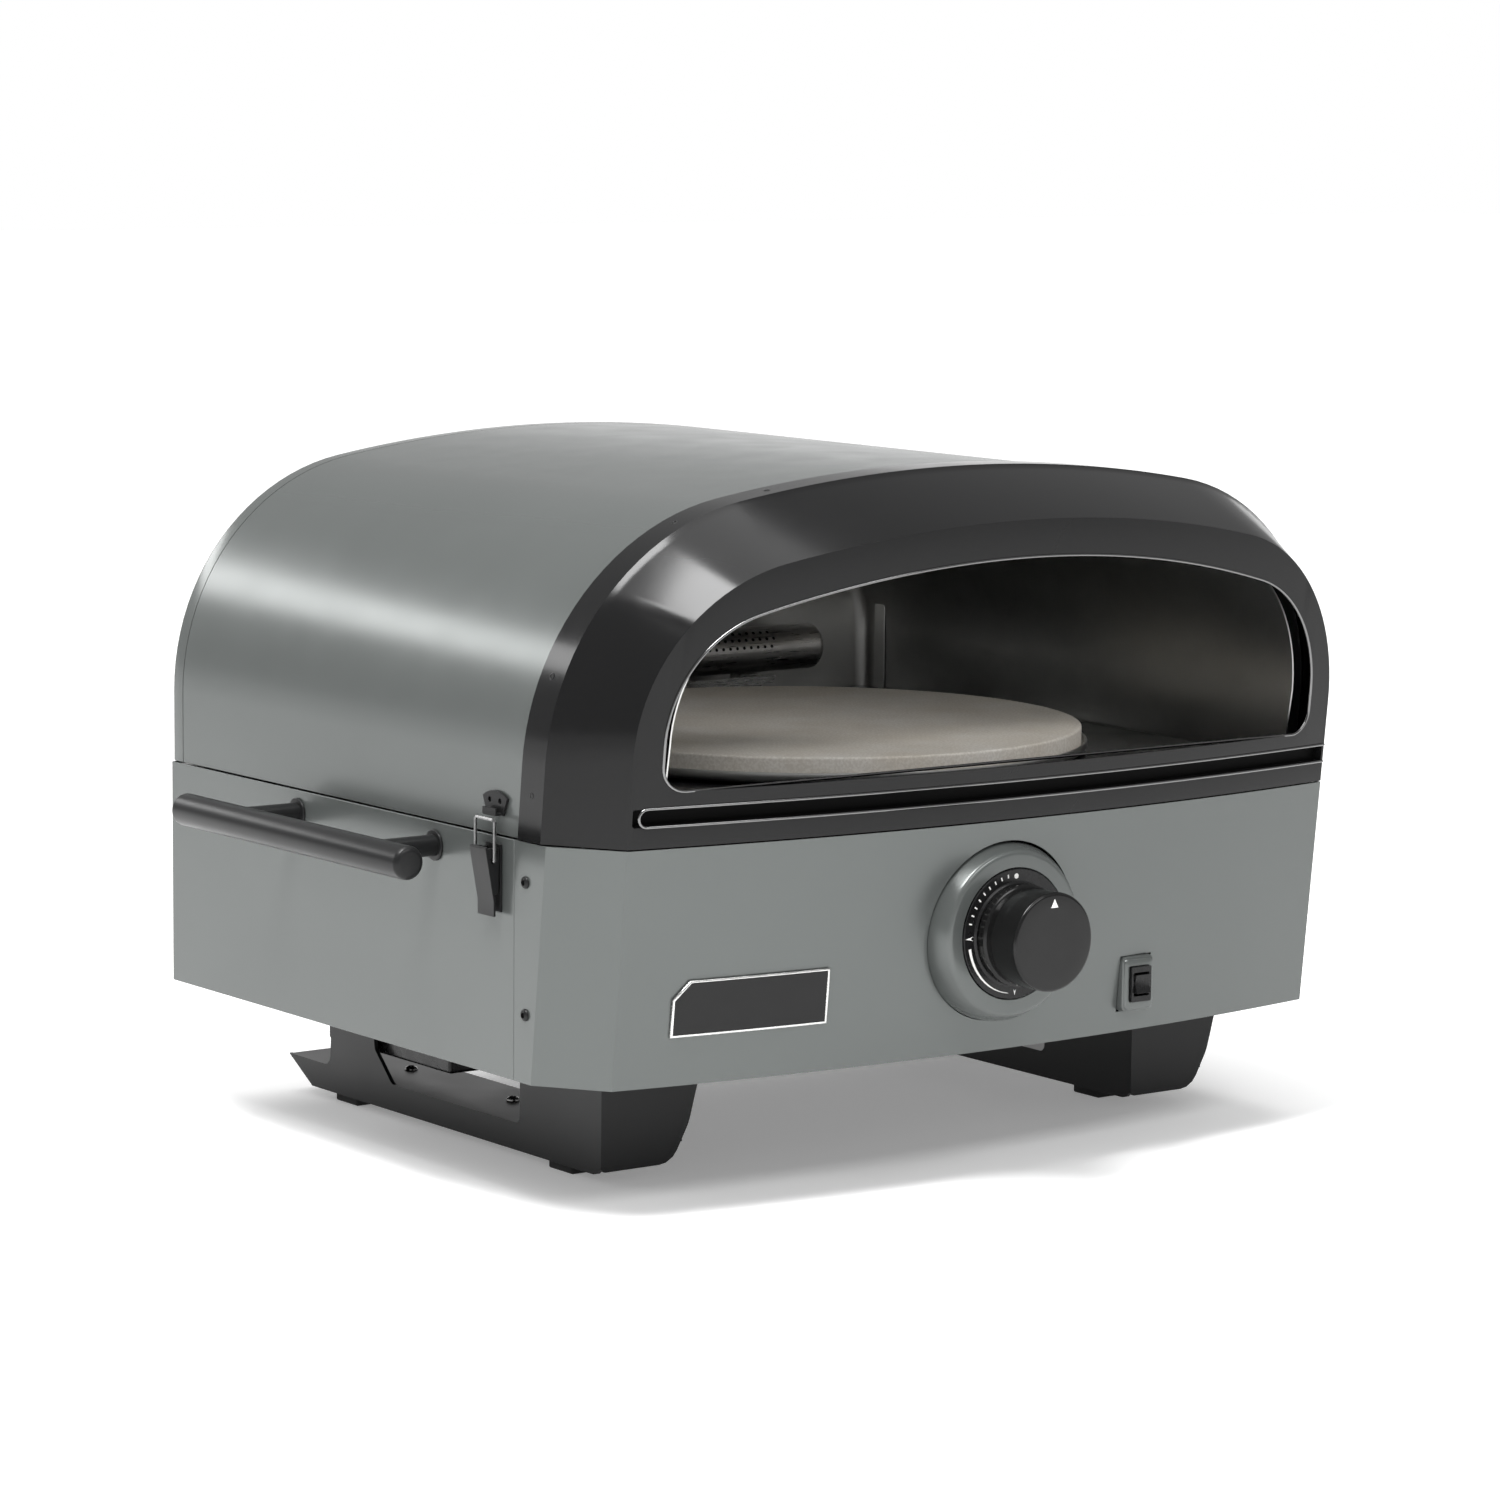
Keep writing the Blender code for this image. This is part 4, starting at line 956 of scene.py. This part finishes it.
def finish_nodes():
    """Materials for every CAD node still shown, and fine edge rounding for those of the listed kinds."""
    slots = {part["node"]: part["material_slot"] for part in frame["record"]["subparts"]}
    looks = {"grey_paint": GREY, "black_enamel": ENAMEL, "black_powder_coat": DARK,
             "stainless_steel": STEEL, "brass": BRASS, "black_plastic": PLASTIC, "rubber": RUBBER,
             "cordierite": CORDIERITE, "insulation_board": BOARD}
    widths = {"leg_": 0.5, "foot_pad": 0.6, "latch_": 0.22, "keeper_": 0.25, "hinge_": 0.3,
              "switch_frame": 0.25, "rocker": 0.3, "battery_box": 0.6, "gas_inlet": 0.5}
    for name, obj in nodes.items():
        if obj.hide_render:
            continue
        obj.data.materials.clear()
        obj.data.materials.append(WIRE if "bail" in name else looks[slots[name]])
        for start, width in widths.items():
            if name.startswith(start) and "bail" not in name:
                weld = obj.modifiers.new("weld", "WELD")
                weld.merge_threshold = 0.00001
                round_edges(obj, width * MM, 2, 30)
        obj.data.shade_smooth()
        obj.data.set_sharp_from_angle(angle=math.radians(38))
        even_shading(obj)


# ---------------------------------------------------------------- studio


def studio_floor():
    mesh = bpy.data.meshes.new("studio_floor")
    shape = bmesh.new()
    bmesh.ops.create_grid(shape, x_segments=1, y_segments=1, size=14)
    shape.to_mesh(mesh)
    shape.free()
    floor = bpy.data.objects.new("studio_floor", mesh)
    bpy.context.scene.collection.objects.link(floor)
    paint = Finish("studio_floor", (0.92, 0.92, 0.92), 0.9, Specular_IOR_Level=0.1,
                   Emission_Color=(1, 1, 1, 1), Emission_Strength=0.24)
    paint.tint(paint.noise(1.5, 2.0), 0.01)
    mesh.materials.append(paint.made)


def surroundings():
    """White behind the oven, and a dimmer even room for what lights it."""
    world = bpy.data.worlds.new("studio")
    bpy.context.scene.world = world
    world.use_nodes = True
    tree = world.node_tree
    backdrop = tree.nodes["Background"]
    room = tree.nodes.new("ShaderNodeBackground")
    for shader, strength in ((backdrop, 1.0), (room, SURROUND)):
        shader.inputs["Color"].default_value = (1, 1, 1, 1)
        shader.inputs["Strength"].default_value = strength
    mix = tree.nodes.new("ShaderNodeMixShader")
    seen = tree.nodes.new("ShaderNodeLightPath").outputs["Is Camera Ray"]
    tree.links.new(seen, mix.inputs["Fac"])
    tree.links.new(room.outputs["Background"], mix.inputs[1])
    tree.links.new(backdrop.outputs["Background"], mix.inputs[2])
    tree.links.new(mix.outputs["Shader"], tree.nodes["World Output"].inputs["Surface"])


def lamp(name, kind, place, target, power, **values):
    """A staged lamp that faces its target and is itself out of the camera's sight."""
    light = bpy.data.lights.new(name, kind)
    light.energy = power
    for key, value in values.items():
        setattr(light, key, value)
    made = bpy.data.objects.new(name, light)
    bpy.context.scene.collection.objects.link(made)
    made.location = place
    made.rotation_euler = (Vector(target) - Vector(place)).to_track_quat("-Z", "Y").to_euler()
    made.visible_camera = False


def panel(name, place, target, power, wide, high):
    """A rectangular soft box."""
    lamp(name, "AREA", place, target, power, shape="RECTANGLE", size=wide, size_y=high)


def studio():
    """Plain pale floor, soft boxes and an even white surround."""
    studio_floor()
    surroundings()
    lamp("sky_panel", "SUN", (-0.45, 0.5, 3.0), (0, 0, 0), SKY_POWER, angle=math.radians(60))
    panel("rear_box", (-1.25, 2.1, 1.2), (0, 0.05, 0.3), 16, 2.4, 0.30)
    panel("horizon_box", (1.6, 2.2, 0.55), (0, 0, 0.35), 2.5, 2.2, 0.5)
    panel("top_box", (-0.80, -0.45, 2.0), (0, -0.15, 0.3), 45, 0.6, 0.9)
    panel("front_top_box", (0.2, -1.9, 1.8), (0, -0.1, 0.25), 18, 1.4, 0.5)
    panel("chamber_glow", (-0.10, -0.06, 0.350), (0.20, 0.20, 0.355), 0.10, 0.25, 0.05)


def camera():
    """Low three-quarter view from the left front."""
    azimuth, elevation, roll = 0.6343, 0.1337, 0.0094
    forward = Vector((math.sin(azimuth) * math.cos(elevation),
                      math.cos(azimuth) * math.cos(elevation), -math.sin(elevation)))
    level = Vector((math.cos(azimuth), -math.sin(azimuth), 0))
    upright = level.cross(forward)
    right = level * math.cos(roll) + upright * math.sin(roll)
    up = upright * math.cos(roll) - level * math.sin(roll)
    turn = Matrix((right, up, -forward)).transposed().to_4x4()
    lens = bpy.data.cameras.new("camera")
    lens.sensor_width = 36
    lens.lens = 122.42
    lens.clip_end = 100
    made = bpy.data.objects.new("camera", lens)
    bpy.context.scene.collection.objects.link(made)
    made.matrix_world = Matrix.Translation((-1.7826, -2.3988, 0.6223)) @ turn
    bpy.context.scene.camera = made
    bpy.context.scene.view_settings.view_transform = "Standard"
    bpy.context.scene.view_settings.exposure = 0.0


def main():
    hood_shell()
    hood_rear()
    hood_fascia()
    hood_liner()
    front_panel()
    base_shell()
    dial()
    switch()
    badge()
    stone()
    burner()
    oven_floor()
    handles()
    screws()
    leg_details()
    finish_nodes()
    studio()
    camera()


main()
